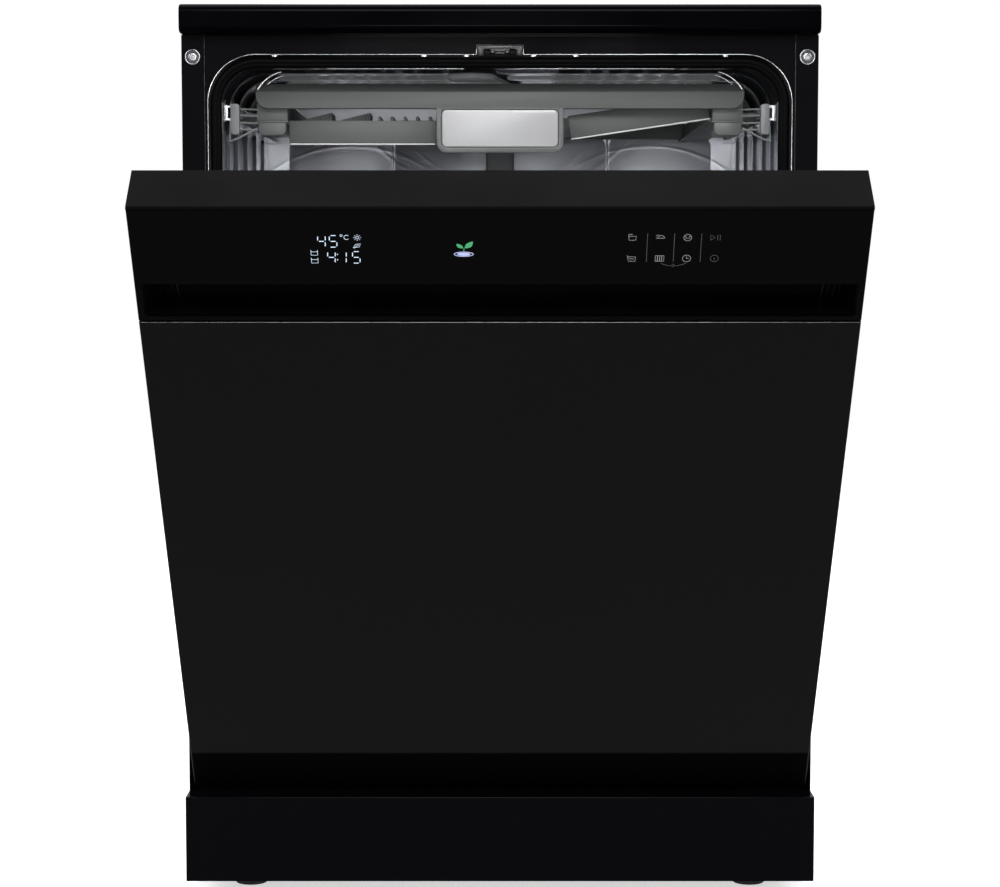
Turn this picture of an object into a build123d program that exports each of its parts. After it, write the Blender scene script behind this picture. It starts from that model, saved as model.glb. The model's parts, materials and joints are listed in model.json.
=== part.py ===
from build123d import *
import math
import os

# Freestanding dishwasher, door ajar. Millimetres. X to the right, Y to the back, Z up.
# Origin: on the floor, mid-width, in the plane of the side panels' front flanges.
# Door parts are drawn with the door shut and then swung about the hinge axis.

# --- overall sizes ---
WIDTH = 598.0
HEIGHT = 845.0
BACK_Y = 550.0
SHEET = 1.0
FIT = 0.3
BODY_HALF = WIDTH / 2

# --- worktop and cabinet ---
WORKTOP_T = 27.0
WORKTOP_FRONT = 20.5
WORKTOP_ROUND = 7.0
WORKTOP_EDGE_R = 2.0
PANEL_FOOT_Z = 20.0
FLANGE_W = 21.5
FLANGE_Z0 = 236.0
SCREW_Z = 797.5
SCREW_IN = 10.5
SCREW_R = 2.0
SCREW_HEAD_R = 4.6
SCREW_LENGTH = 14.0
CUP_R = 7.4
FRAME_T = 1.2
FRAME_HEM = 14.0
FRAME_CLEAR = 4.0
PANEL_TOP = HEIGHT - WORKTOP_T
FLANGE_IN = BODY_HALF - FLANGE_W
WALL_IN = BODY_HALF - SHEET

# --- tub ---
OPEN_HALF = 274.6
OPEN_TOP = 799.9
OPEN_R = 45.0
TUB_HALF = 264.0
TUB_TOP = 790.0
TUB_R = 38.0
TUB_FRONT = 12.0
TUB_DEPTH = 508.0
FLOOR_Z = 186.0
FLOOR_T = 2.0
SILL_RISE = 10.0
SILL_Z = FLOOR_Z + SILL_RISE
WELL_R = 140.0
WELL_DEPTH = 14.0
FLOOR_GAP = 0.2
SEAL_GROW = 0.6
CHANNEL_EDGE = OPEN_HALF - 0.1
ARM_Y = 255.0
SUMP_HOLE_R = 52.0
TUB_BACK = TUB_FRONT + TUB_DEPTH
WELL_Z = FLOOR_Z - WELL_DEPTH

# --- door ---
DOOR_OPEN = 37.5
HINGE_Y = 7.4
HINGE_Z = 188.0
PIN_R = 4.0
DOOR_W = 587.6
DOOR_T = 50.0
DOOR_GAP = 0.4
DOOR_Z0 = 129.6
DOOR_Z1 = 810.3
PANEL_T = 1.5
SEAM_Z = 695.2
SEAM_GAP = 2.4
RECESS_Z0 = 701.8
RECESS_Z1 = 734.5
RECESS_SIDE = 5.5
GLASS_T = 3.0
CAP_T = 3.0
POCKET_DEPTH = 28.0
POCKET_WALL = 2.0
LINER_T = 0.8
LINER_RECESS = 10.0
DOOR_EDGE_R = 1.2
TAIL_LIP = 12.0
POCKET_SLANT = 12.0
POCKET_RISE = 9.0
RECESS_ROUND = 4.0
CAP_CHAMFER = 1.4
DOOR_HALF = DOOR_W / 2
DOOR_BACK = -DOOR_GAP
DOOR_FACE = -DOOR_GAP - DOOR_T
SIDE_IN = DOOR_HALF - PANEL_T
FASCIA_Z0 = SEAM_Z + SEAM_GAP
CAP_Z0 = DOOR_Z1 - CAP_T
GLASS_BACK = DOOR_FACE + GLASS_T
LINER_FLOOR = DOOR_BACK - LINER_RECESS

# --- hinges ---
ARM_X = 285.5
ARM_T = 3.0
FORK_GAP = 0.8
FORK_T = 2.5
EYE_R = 6.6
ARM_LENGTH = 170.0
RUNNING = 0.06

# --- base, plinth and feet ---
KICK_FRONT = -33.5
KICK_TOP = 100.0
KICK_Z0 = 18.6
KICK_T = 2.0
BASE_BACK = 535.0
BASE_STEP_Y = 75.0
BASE_TOP = 165.0
BASE_WALL = 2.5
FOOT_R = 16.0
FOOT_X = 244.0
FOOT_FRONT_Y = 44.0
FOOT_REAR_Y = 495.0
FOOT_PAD_T = 8.0
FOOT_STEM_R = 5.0
FOOT_STEM = 52.0
FOOT_NUT_R = 9.0
FOOT_NUT_H = 6.0
BOSS_WALL = 4.0
BOSS_H = 30.0
SEAT_T = 10.0
SEAT_EXTRA = 4.0
PORT_CLEAR = 2.0

# --- cutlery tray ---
TRAY_HALF = 234.5
TRAY_FRONT = 52.0
TRAY_LENGTH = 436.0
TRAY_RAIL_T = 12.0
TRAY_Z0 = 753.0
TRAY_Z1 = 777.0
TRAY_BLOCK_W = 30.0
GRIP_HALF = 61.0
GRIP_Z0 = 711.0
GRIP_BORDER = 5.0
INSERT_Z0 = 720.0
INSERT_H = 21.0
INSERT_FLOOR = INSERT_Z0 + INSERT_H
RIGHT_RISE = 4.5
LEDGE_T = 2.3
LEDGE_W = 4.0
END_DEPTH = 40.0
TROUGH_Z = 745.0
INSERT_WALL = 5.0
COMB_X0, COMB_X1 = -118.0, -66.0
COMB_PITCH = 12.0
COMB_T = 3.0
COMB_H = 4.0
CROSS_H = 6.0
INSERT_IN = 62.0
INSERT_T = 1.6
INSERT_TILT = 8.4
INSERT_GAP = 0.6
INSERT_SHIFT = 4.0
INSERT_FRONT = 20.0
SLOT_W = 6.0
SLOT_PITCH = 18.0
RAMP_X = (-190.0, -153.0)
RAMP_L = 28.0
RAMP_H = 8.0
RAMP_T = 60.0
TOOTH_T = 1.6
TOOTH_PITCH = 34.0
TRAY_ROUND = 12.0
GRIP_ROUND = 10.0
GRIP_T = 6.0
TROUGH_WALL = 2.0
KEEL_W = 6.0
PLATE_T = 2.2

# --- baskets ---
WIRE = 3.0
BASKET_HALF = 236.0
BASKET_FRONT = 36.0
BASKET_DEPTH = 462.0
UPPER_Z0 = 462.0
UPPER_H = 140.0
LOWER_LIFT = 50.0
LOWER_Z0 = FLOOR_Z + LOWER_LIFT
LOWER_H = 140.0
MESH = 34.0
RAIL_H = 26.0
RAIL_W = 11.0
TRAY_RAIL_Z = 742.0
TRAY_RAIL_H = 14.0
RUNNER_GAP = 0.6
RAIL_T = 2.0
UPPER_RAIL_Z = 522.0
WHEEL_R = 18.0
WHEEL_T = 9.0
WHEEL_BORE = 3.0
WHEEL_FRONT = 90.0
WHEEL_REAR = 430.0
TINE_H = 62.0
TINE_STEP = 29.0

# --- spray arms ---
SPRAY_R = 222.0
SPRAY_W = 46.0
SPRAY_T = 9.0
HUB_R = 20.0
LOWER_ARM_LIFT = 20.0
LOWER_ARM_Z = FLOOR_Z + LOWER_ARM_LIFT
MIDDLE_ARM_Z = 440.0
TOP_ARM_Z = 780.4
TOP_ARM_T = 5.4
TOP_ARM_TURN = -8.0
MIDDLE_ARM_TURN = 35.0
LOWER_ARM_TURN = -50.0
TOP_SPINDLE_R = 5.0
MIDDLE_SPINDLE_R = 4.0
DUCT_HALF = 16.0
DUCT_DEPTH = 12.0
SPOUT_HALF = 9.0

# --- connections ---
TUBE_WALL = 4.0
THREAD_R = 13.2
THREAD_L = 14.0
SPIGOT_R = 10.0
SPIGOT_L = 26.0
GLAND_R = 5.0
GLAND_L = 14.0
PORT_Z = 62.0

# --- latch ---
STRIKE_HALF = 21.3
STRIKE_Z0 = 798.6
STRIKE_Z1 = 808.0
PRONG_X = 6.8
PRONG_W = 4.4
PRONG_REACH = 7.0
PRONG_T = 3.0
PRONG_DROP = 1.4
STRIKE_FRONT = 0.2
STRIKE_BACK = 15.0
STRIKE_ROUND = 3.0
PIT_HALF = 16.0
PIT_DEPTH = 6.0
PAWL_Y, PAWL_Z = -22.0, 790.0
PAWL_PIN_R = 2.0
PAWL_HALF = 11.0
CASE_BACK = -34.0
CASE_Z0 = 774.0

# --- tub ---
RIB_X = 122.0
RIB_W = 5.0
RIB_DEPTH = 2.5
RIB_Z0, RIB_Z1 = 240.0, 770.0

# --- machinery ---
CUP_X, CUP_Y = 90.0, 201.0
CUP_HOLE_R = 28.0
SALT_X, SALT_Y = -88.0, 196.0
SALT_R = 26.0
VALVE_X = -205.0
SPIGOT_X = 150.0
GLAND_X = 200.0
PUMP_R = 42.0
PUMP_Z = 76.0
PUMP_X0, PUMP_X1 = 30.0, 150.0
OUTLET_R = 9.0
OUTLET_Z = 104.0
PUMP_BACK = 110.0
BOWL_R = 74.0
BOWL_WALL = 4.0
BOWL_Z0 = 96.0
DRAIN_R = 28.0
DRAIN_H = 70.0
DRAIN_Y = 430.0
COLUMN_R = 15.0
BASE_FLOOR = PANEL_FOOT_Z + BASE_WALL + FIT
BREAKER_Y0, BREAKER_Y1 = 130.0, 400.0
BREAKER_Z0, BREAKER_Z1 = 320.0, 640.0
BREAKER_R = 18.0
SPRING_R = 7.5
SPRING_Y = 120.0
SPRING_LENGTH = 150.0

# --- electronics (shut door) ---
DISPLAY_X0, DISPLAY_X1 = -160.0, -14.0
DISPLAY_Z0, DISPLAY_Z1 = 748.0, 792.0
BOARD_X0, BOARD_X1 = 96.0, 186.0
BOARD_Z0, BOARD_Z1 = 750.0, 796.0

# --- hinge brackets ---
FORK_IN = ARM_X - ARM_T / 2 - FORK_GAP - FORK_T
FORK_OUT = ARM_X + ARM_T / 2 + FORK_GAP + FORK_T
BRACKET_BACK = 112.0
BRACKET_LOW = 182.0

# --- door liner and dispenser ---
PAN_HALF = 246.0
PAN_Z0, PAN_Z1 = 204.0, 768.0
PAN_R = 24.0
DISP_X0, DISP_X1 = -82.0, 92.0
DISP_Z0, DISP_Z1 = 430.0, 540.0
LID_TRAVEL = 62.0
LID_OVERLAP = 5.0
CUP_IN_X0, CUP_IN_X1 = -72.0, -14.0
RINSE_R = 16.0
RINSE_X = CUP_IN_X1 + LID_OVERLAP + LID_TRAVEL + 3 + RINSE_R

# --- basket fittings ---
SHELF_Z = UPPER_Z0 + 92
SHELF_W = 92.0
SHELF_GAP = 0.9
SHELF_Y0, SHELF_Y1 = 90.0, 440.0
FRONT_DROP = 30.0
GRIP_REACH = 6.0
UPPER_TINE_H = 42.0
FIXED_TINES = (110.0, 300.0, 390.0)
TINE_INSET = 36.0
TINE_AXIS_LIFT = 0.8
TINE_AXIS_Y = 200.0


def block(x0, x1, y0, y1, z0, z1):
    box = Box(x1 - x0, y1 - y0, z1 - z0)
    return Pos((x0 + x1) / 2, (y0 + y1) / 2, (z0 + z1) / 2) * box


def rod(radius, start, end):
    a, b = Vector(*start), Vector(*end)
    plane = Plane(origin=a, z_dir=b - a)
    return extrude(plane * Circle(radius), (b - a).length)


def mirrored(part):
    return [part, mirror(part, Plane.YZ)]


def frame_plane(y):
    return Plane(origin=(0, y, 0), x_dir=(1, 0, 0), z_dir=(0, -1, 0))


def arch(half, top, bottom, radius, y0, y1):
    """Upright slab with its two top corners rounded, from y0 back to y1."""
    outline = Pos(0, (top + bottom) / 2) * Rectangle(2 * half, top - bottom)
    if radius:
        corners = outline.vertices().group_by(Axis.Y)[-1]
        outline = fillet(corners, radius)
    return extrude(frame_plane(y1) * outline, y1 - y0)


def side_profile(points, x0, x1):
    """Slab between x0 and x1 with an outline given as (y, z) points."""
    plane = Plane(origin=(x0, 0, 0), x_dir=(0, 1, 0), z_dir=(1, 0, 0))
    return extrude(plane * make_face(Polyline(*points, close=True)), x1 - x0)


def edges_along(part, axis, test):
    return part.edges().filter_by(axis).filter_by(lambda e: test(e.center()))


def swung(part):
    return part.rotate(Axis((0, HINGE_Y, HINGE_Z), (1, 0, 0)), DOOR_OPEN)


def steps(low, high, pitch):
    """Evenly spaced stations from low to high, about pitch apart."""
    count = max(2, round((high - low) / pitch) + 1)
    return [low + (high - low) * i / (count - 1) for i in range(count)]


def save(name, parts):
    solids = []
    for part in parts if isinstance(parts, list) else [parts]:
        solids += part.solids()
    shape = solids[0] if len(solids) == 1 else Compound(children=solids)
    shape.label = name
    export_step(shape, f"parts/{name}.step")


# --- cabinet ---
def worktop():
    slab = block(-BODY_HALF, BODY_HALF, -WORKTOP_FRONT, BACK_Y, PANEL_TOP, HEIGHT)
    nose = edges_along(slab, Axis.X, lambda c: c.Y < 0)
    slab = fillet(nose, WORKTOP_ROUND)
    sides = edges_along(slab, Axis.Y, lambda c: c.Z > HEIGHT - 1)
    return fillet(sides, WORKTOP_EDGE_R)


def side_panel(sign):
    sheet = block(WALL_IN, BODY_HALF, 0, BACK_Y, PANEL_FOOT_Z, PANEL_TOP)
    sheet += block(FLANGE_IN, WALL_IN, 0, SHEET, FLANGE_Z0, PANEL_TOP)
    sheet += block(FLANGE_IN, WALL_IN, BACK_Y - SHEET, BACK_Y, PANEL_FOOT_Z, PANEL_TOP)
    front = edges_along(sheet, Axis.Z, lambda c: c.X > WALL_IN and c.Y < 0.1)
    sheet = fillet(front, SHEET * 0.8)
    x = BODY_HALF - SCREW_IN
    sheet -= rod(CUP_R + 0.1, (x, -1, SCREW_Z), (x, SHEET + 1, SCREW_Z))
    return sheet if sign > 0 else mirror(sheet, Plane.YZ)


def back_panel():
    y1 = BACK_Y - SHEET - FIT
    return block(-WALL_IN + FIT, WALL_IN - FIT, y1 - SHEET, y1, BASE_TOP, PANEL_TOP - FIT)


def front_frame():
    """Black steel frame round the tub opening, behind the side flanges."""
    y0, y1 = SHEET, SHEET + FRAME_T
    half, top = WALL_IN - FRAME_CLEAR, PANEL_TOP - FIT
    plate = block(-half, half, y0, y1, FLOOR_Z, top)
    plate -= arch(OPEN_HALF, OPEN_TOP, SILL_Z, OPEN_R, y0 - 1, y1 + 1)
    for s in (-1, 1):
        notch = block(OPEN_HALF + 3, half + 1, y0 - 1, y1 + 1, FLOOR_Z - 1, FLANGE_Z0)
        plate -= notch if s > 0 else mirror(notch, Plane.YZ)
        x = s * (BODY_HALF - SCREW_IN)
        plate -= rod(SCREW_R + 0.2, (x, y0 - 1, SCREW_Z), (x, y1 + 1, SCREW_Z))
    plate -= block(-STRIKE_HALF - FIT, STRIKE_HALF + FIT, y0 - 1, y1 + 1, STRIKE_Z0 - 4, STRIKE_Z1 + FIT)
    hem = block(-half, half, y1, y1 + FRAME_HEM, top - FRAME_T, top)
    return plate + hem


def kick_plate():
    """Plinth cover: front sheet, top ledge under the door and side returns."""
    front = block(-BODY_HALF, BODY_HALF, KICK_FRONT, KICK_FRONT + KICK_T, KICK_Z0, KICK_TOP)
    front += block(-BODY_HALF, BODY_HALF, KICK_FRONT, -FIT, KICK_TOP - KICK_T, KICK_TOP)
    inner = WALL_IN - FIT
    front += block(-inner, inner, -FIT, BASE_STEP_Y - FIT, KICK_TOP - KICK_T, KICK_TOP)
    for side in mirrored(block(BODY_HALF - KICK_T, BODY_HALF, KICK_FRONT, -FIT, KICK_Z0, KICK_TOP)):
        front += side
    upright = edges_along(front, Axis.Z, lambda c: c.Y < KICK_FRONT + 0.1 and abs(c.X) > BODY_HALF - 1)
    front = fillet(upright, KICK_T * 0.9)
    nose = edges_along(front, Axis.X, lambda c: c.Y < KICK_FRONT + 0.1 and c.Z > KICK_TOP - 0.1)
    return fillet(nose, KICK_T * 0.5)


def base_tray():
    """Plastic base pan of flat walls, low in front so that the door's tail can swing above it."""
    w, half, floor_z = BASE_WALL, WALL_IN - FIT, PANEL_FOOT_Z + BASE_WALL
    inner, low = half - w, KICK_TOP - KICK_T - FIT
    floor = block(-half, half, 0, BASE_BACK, PANEL_FOOT_Z, floor_z)
    front = block(-inner, inner, 0, w, floor_z, low)
    ledge = block(-inner, inner, w, BASE_STEP_Y + w, low - w, low)
    riser = block(-inner, inner, BASE_STEP_Y, BASE_STEP_Y + w, low, BASE_TOP)
    back = block(-inner, inner, BASE_BACK - w, BASE_BACK, floor_z, BASE_TOP)
    for x, r in ((VALVE_X, THREAD_R), (SPIGOT_X, SPIGOT_R), (GLAND_X, GLAND_R + TUBE_WALL)):
        back -= rod(r + PORT_CLEAR, (x, BASE_BACK - w - 1, PORT_Z), (x, BASE_BACK + 1, PORT_Z))
    pan = [front, ledge, riser, back]
    pan += mirrored(block(inner, half, 0, BASE_STEP_Y, floor_z, low))
    pan += mirrored(block(inner, half, BASE_STEP_Y, BASE_BACK, floor_z, BASE_TOP))
    seat_back = BRACKET_BACK + PORT_CLEAR
    seat = block(FORK_IN - SEAT_EXTRA, inner, BASE_STEP_Y + w, seat_back, BASE_TOP - SEAT_T, BASE_TOP)
    pan += mirrored(seat)
    for x, y in foot_places():
        stem = rod(FOOT_STEM_R + FIT, (x, y, 0), (x, y, floor_z + BOSS_H + 1))
        pan.append(rod(FOOT_STEM_R + BOSS_WALL, (x, y, floor_z), (x, y, floor_z + BOSS_H)) - stem)
        floor -= stem
    return [floor] + pan


def foot_places():
    return [(s * FOOT_X, y) for y in (FOOT_FRONT_Y, FOOT_REAR_Y) for s in (-1, 1)]


def foot(x, y):
    pad = rod(FOOT_R, (x, y, 0), (x, y, FOOT_PAD_T))
    pad = chamfer(pad.edges().group_by(Axis.Z)[-1], 2.0)
    nut = extrude(Pos(x, y, FOOT_PAD_T) * RegularPolygon(FOOT_NUT_R, 6), FOOT_NUT_H)
    return pad + nut + rod(FOOT_STEM_R, (x, y, FOOT_PAD_T), (x, y, FOOT_PAD_T + FOOT_STEM))


def flange_screws():
    x = BODY_HALF - SCREW_IN
    cup = rod(CUP_R, (x, -FIT, SCREW_Z), (x, SHEET, SCREW_Z))
    cup -= rod(SCREW_HEAD_R + 1.2, (x, -1, SCREW_Z), (x, SHEET * 0.6, SCREW_Z))
    head = rod(SCREW_HEAD_R, (x, -FIT, SCREW_Z), (x, SHEET, SCREW_Z))
    head = fillet(head.edges().group_by(Axis.Y)[0], 0.5)
    screw = cup + head + rod(SCREW_R, (x, 0, SCREW_Z), (x, SCREW_LENGTH, SCREW_Z))
    for turn in (0, 90):
        slot = Box(4.6, 1.4, 1.0).rotate(Axis.Y, turn)
        screw -= Pos(x, -FIT, SCREW_Z) * slot
    return mirrored(screw)


# --- latch keeper in the crossbar ---
def latch_strike():
    body = block(-STRIKE_HALF, STRIKE_HALF, STRIKE_FRONT, STRIKE_BACK, STRIKE_Z0, STRIKE_Z1)
    ends = edges_along(body, Axis.Y, lambda c: c.Z > STRIKE_Z1 - 1)
    body = fillet(ends, STRIKE_ROUND)
    body -= block(-PIT_HALF, PIT_HALF, 0, PIT_DEPTH, STRIKE_Z0 + 1.6, STRIKE_Z1 - 2)
    z = (STRIKE_Z0 + STRIKE_Z1) / 2 - PRONG_DROP
    for s in (-1, 1):
        x = s * PRONG_X
        w, t = PRONG_W / 2, PRONG_T / 2
        body += block(x - w, x + w, -PRONG_REACH, PIT_DEPTH + 2, z - t, z + t)
    return body


# --- tub ---
def tub_wrapper():
    """Steel wrapper: sides and ceiling, with a channel for the seal round its mouth."""
    t = SHEET
    shell = arch(TUB_HALF + t, TUB_TOP + t, FLOOR_Z, TUB_R + t, TUB_FRONT, TUB_BACK)
    shell -= arch(TUB_HALF, TUB_TOP, FLOOR_Z - 1, TUB_R, TUB_FRONT - 1, TUB_BACK + 1)
    edge = CHANNEL_EDGE
    step = arch(edge, OPEN_TOP - 0.1, FLOOR_Z, OPEN_R, TUB_FRONT, TUB_FRONT + t)
    step -= arch(TUB_HALF, TUB_TOP, FLOOR_Z - 1, TUB_R, TUB_FRONT - 1, TUB_FRONT + t + 1)
    lip = arch(edge, OPEN_TOP - 0.1, SILL_Z, OPEN_R, SHEET, TUB_FRONT)
    lip -= arch(edge - t, OPEN_TOP - 0.1 - t, SILL_Z - 1, OPEN_R - t, SHEET - 1, TUB_FRONT + 1)
    wrapper = shell + step + lip
    cut = block(-STRIKE_HALF - FIT, STRIKE_HALF + FIT, 0, TUB_FRONT + 6, STRIKE_Z0 - FIT, OPEN_TOP + 2)
    return wrapper - cut


def tub_back():
    back = arch(TUB_HALF + SHEET, TUB_TOP + SHEET, FLOOR_Z, TUB_R + SHEET, TUB_BACK, TUB_BACK + SHEET)
    for s in (-1, 1):
        x = s * RIB_X
        back += block(x - RIB_W / 2, x + RIB_W / 2, TUB_BACK - RIB_DEPTH, TUB_BACK, RIB_Z0, RIB_Z1)
    return back


def tub_floor():
    """Floor with a round well; plate, well wall, well bottom and sill lie edge to edge."""
    half, z1, y0 = TUB_HALF - FLOOR_GAP, FLOOR_Z, TUB_FRONT + FLOOR_GAP
    ring_r = WELL_R + FLOOR_T
    plate = block(-half, half, y0, TUB_BACK - FLOOR_GAP, z1 - FLOOR_T, z1)
    plate -= rod(ring_r, (0, ARM_Y, z1 - 9), (0, ARM_Y, z1 + 9))
    wall = rod(ring_r, (0, ARM_Y, WELL_Z - FLOOR_T), (0, ARM_Y, z1))
    wall -= rod(WELL_R, (0, ARM_Y, WELL_Z - FLOOR_T - 1), (0, ARM_Y, z1 + 1))
    bottom = rod(WELL_R, (0, ARM_Y, WELL_Z - FLOOR_T), (0, ARM_Y, WELL_Z))
    holes = ((SUMP_HOLE_R, 0, ARM_Y), (CUP_HOLE_R, CUP_X, CUP_Y), (SALT_R + FIT, SALT_X, SALT_Y))
    for r, x, y in holes:
        bottom -= rod(r, (x, y, WELL_Z - FLOOR_T - 1), (x, y, WELL_Z + 1))
    sill = block(-half, half, y0, y0 + FLOOR_T, z1, SILL_Z)
    return [plate, wall, bottom, sill]


def tub_seal():
    """Soft seal lying in the channel round the mouth."""
    grow, front = SEAL_GROW, SHEET
    edge = CHANNEL_EDGE - SHEET - FIT
    ring = arch(edge, OPEN_TOP - 0.1 - SHEET - FIT, SILL_Z + 4, OPEN_R - SHEET, front, TUB_FRONT - FIT)
    ring -= arch(TUB_HALF + grow, TUB_TOP + grow, SILL_Z, TUB_R + grow, front - 1, TUB_FRONT)
    cut = block(-STRIKE_HALF - 1, STRIKE_HALF + 1, 0, TUB_FRONT + 4, STRIKE_Z0 - 1, OPEN_TOP + 2)
    return ring - cut


# --- sump, filters and machinery in the base ---
def sump():
    top = WELL_Z - FLOOR_T - FIT
    bowl = rod(BOWL_R, (0, ARM_Y, BOWL_Z0), (0, ARM_Y, top))
    bowl -= rod(BOWL_R - BOWL_WALL, (0, ARM_Y, BOWL_Z0 + 3), (0, ARM_Y, top + 1))
    column = rod(COLUMN_R, (0, ARM_Y, BOWL_Z0 + 1), (0, ARM_Y, LOWER_ARM_Z + SPRAY_T))
    column += rod(COLUMN_R + 2.5, (0, ARM_Y, WELL_Z + 3), (0, ARM_Y, LOWER_ARM_Z - 1 - FIT))
    return bowl + column - rod(COLUMN_R - BOWL_WALL, (0, ARM_Y, BOWL_Z0 + 3), (0, ARM_Y, HEIGHT))


def filter_plate():
    """Flat steel filter lying in the well, with holes for the column, cup and salt cap."""
    disc = rod(WELL_R - 1, (0, ARM_Y, WELL_Z + FIT), (0, ARM_Y, WELL_Z + 2))
    disc -= rod(COLUMN_R + 0.4, (0, ARM_Y, 0), (0, ARM_Y, 400))
    disc -= rod(CUP_HOLE_R - 0.5, (CUP_X, CUP_Y, 0), (CUP_X, CUP_Y, 400))
    disc -= rod(SALT_R + FIT, (SALT_X, SALT_Y, 0), (SALT_X, SALT_Y, 400))
    return disc


def filter_cup():
    r, z0, z1 = CUP_HOLE_R - 2, WELL_Z - 34, WELL_Z + 2 + FIT
    cup = rod(r, (CUP_X, CUP_Y, z0), (CUP_X, CUP_Y, z1))
    cup -= rod(r - 2, (CUP_X, CUP_Y, z0 + 2), (CUP_X, CUP_Y, z1 + 1))
    cup += rod(CUP_HOLE_R + 4, (CUP_X, CUP_Y, z1), (CUP_X, CUP_Y, z1 + 2))
    cup -= rod(r - 2, (CUP_X, CUP_Y, z1 - 1), (CUP_X, CUP_Y, z1 + 3))
    return cup + block(CUP_X - r, CUP_X + r, CUP_Y - 2.5, CUP_Y + 2.5, z1 - 6, z1 + 12)


def salt_reservoir():
    top = WELL_Z - FLOOR_T - FIT
    tank = block(SALT_X - 84, SALT_X + 16, SALT_Y - 90, SALT_Y - 10, 60, top - 12)
    neck = rod(SALT_R - FIT, (SALT_X, SALT_Y, top - 40), (SALT_X, SALT_Y, WELL_Z + 4))
    neck -= rod(SALT_R - 5, (SALT_X, SALT_Y, top - 30), (SALT_X, SALT_Y, WELL_Z + 5))
    return tank + neck


def salt_cap():
    z = WELL_Z + 4 + FIT
    cap = rod(SALT_R + 3, (SALT_X, SALT_Y, z), (SALT_X, SALT_Y, z + 7))
    cap = fillet(cap.edges().group_by(Axis.Z)[-1], 2.0)
    plug = rod(SALT_R - 5.4, (SALT_X, SALT_Y, z - 16), (SALT_X, SALT_Y, z))
    grip = block(SALT_X - 20, SALT_X + 20, SALT_Y - 3, SALT_Y + 3, z + 6, z + 13)
    return cap + plug + grip


def circulation_pump():
    y, z = ARM_Y - PUMP_BACK, PUMP_Z
    motor = rod(PUMP_R, (PUMP_X0, y, z), (PUMP_X1, y, z)) + rod(PUMP_R - 12, (-10, y, z), (PUMP_X0, y, z))
    outlet = rod(OUTLET_R, (0, y, OUTLET_Z), (0, ARM_Y - 40, OUTLET_Z))
    outlet += rod(OUTLET_R, (0, y, 90), (0, y, OUTLET_Z))
    outlet -= rod(BOWL_R + FIT, (0, ARM_Y, 80), (0, ARM_Y, 140))
    return motor + outlet + block(60, 130, y - 20, y + 20, BASE_FLOOR, z - 36)


def drain_pump():
    """Drain pump with its outlet spigot through the back of the base."""
    x, y = SPIGOT_X, DRAIN_Y
    body = rod(DRAIN_R, (x, y, BASE_FLOOR), (x, y, BASE_FLOOR + DRAIN_H))
    pipe = rod(SPIGOT_R, (x, y, PORT_Z), (x, BASE_BACK - 6 + SPIGOT_L, PORT_Z))
    collar = rod(SPIGOT_R + 1.6, (x, y + 20, PORT_Z), (x, BASE_BACK - 6, PORT_Z))
    return body + pipe + collar - rod(SPIGOT_R - 2.5, (x, BASE_BACK - 30, PORT_Z), (x, BACK_Y + 30, PORT_Z))


def inlet_valve():
    """Solenoid valve with a three-quarter inch thread through the back of the base."""
    x = VALVE_X
    body = block(x - 20, x + 20, BASE_BACK - 60, BASE_BACK - 8, BASE_FLOOR, PORT_Z + 22)
    thread = rod(THREAD_R, (x, BASE_BACK - 9, PORT_Z), (x, BASE_BACK + THREAD_L - 2, PORT_Z))
    bore = rod(THREAD_R - TUBE_WALL, (x, BASE_BACK - 20, PORT_Z), (x, BACK_Y + 9, PORT_Z))
    coil = rod(14, (x, BASE_BACK - 40, PORT_Z + 20), (x, BASE_BACK - 40, PORT_Z + 56))
    return body + thread + coil - bore


def mains_terminal():
    """Terminal box with the cable's bore through the back of the base."""
    x, y1 = GLAND_X, BASE_BACK - 8
    box = block(x - 26, x + 26, y1 - 40, y1, BASE_FLOOR, PORT_Z + 24)
    tube = rod(GLAND_R + TUBE_WALL, (x, y1 - 1, PORT_Z), (x, y1 - 1 + GLAND_L - 1, PORT_Z))
    return box + tube - rod(GLAND_R, (x, y1 - 2, PORT_Z), (x, BACK_Y + 9, PORT_Z))


def air_breaker():
    """Flat water column between the tub and the left side panel."""
    x1 = -TUB_HALF - SHEET - FIT
    plate = block(-WALL_IN + 4, x1 - 6, BREAKER_Y0, BREAKER_Y1, BREAKER_Z0, BREAKER_Z1)
    plate = fillet(edges_along(plate, Axis.X, lambda c: True), BREAKER_R)
    middle = (BREAKER_Y0 + BREAKER_Y1) / 2
    for z in (BREAKER_Z0 + 40, BREAKER_Z1 - 40):
        plate += rod(16, (x1 - 7, middle, z), (x1, middle, z))
    x, y = -WALL_IN + 16, BREAKER_Y0 + 30
    return plate + rod(8, (x, y, BASE_TOP - 60), (x, y, BREAKER_Z0 + 10))


def feed_duct():
    """Grey duct up the tub's back wall to the middle and top spray arms."""
    y1 = TUB_BACK - RIB_DEPTH - FIT
    duct = block(-DUCT_HALF, DUCT_HALF, y1 - DUCT_DEPTH, y1, FLOOR_Z + FIT, TUB_TOP - 2)
    duct = fillet(edges_along(duct, Axis.Z, lambda c: c.Y < y1 - 6), 4)
    duct += block(-12, 12, ARM_Y, y1 - 4, TUB_TOP - 3, TUB_TOP - FIT)
    duct += rod(13, (0, ARM_Y, TUB_TOP - 3), (0, ARM_Y, TUB_TOP - FIT))
    duct += rod(TOP_SPINDLE_R, (0, ARM_Y, TOP_ARM_Z - 2), (0, ARM_Y, TUB_TOP - 2))
    port_y = BASKET_FRONT + BASKET_DEPTH + 2
    duct += block(-SPOUT_HALF, SPOUT_HALF, port_y, y1 - DUCT_DEPTH + 1, UPPER_Z0 - 15, UPPER_Z0 - 1)
    return duct


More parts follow.
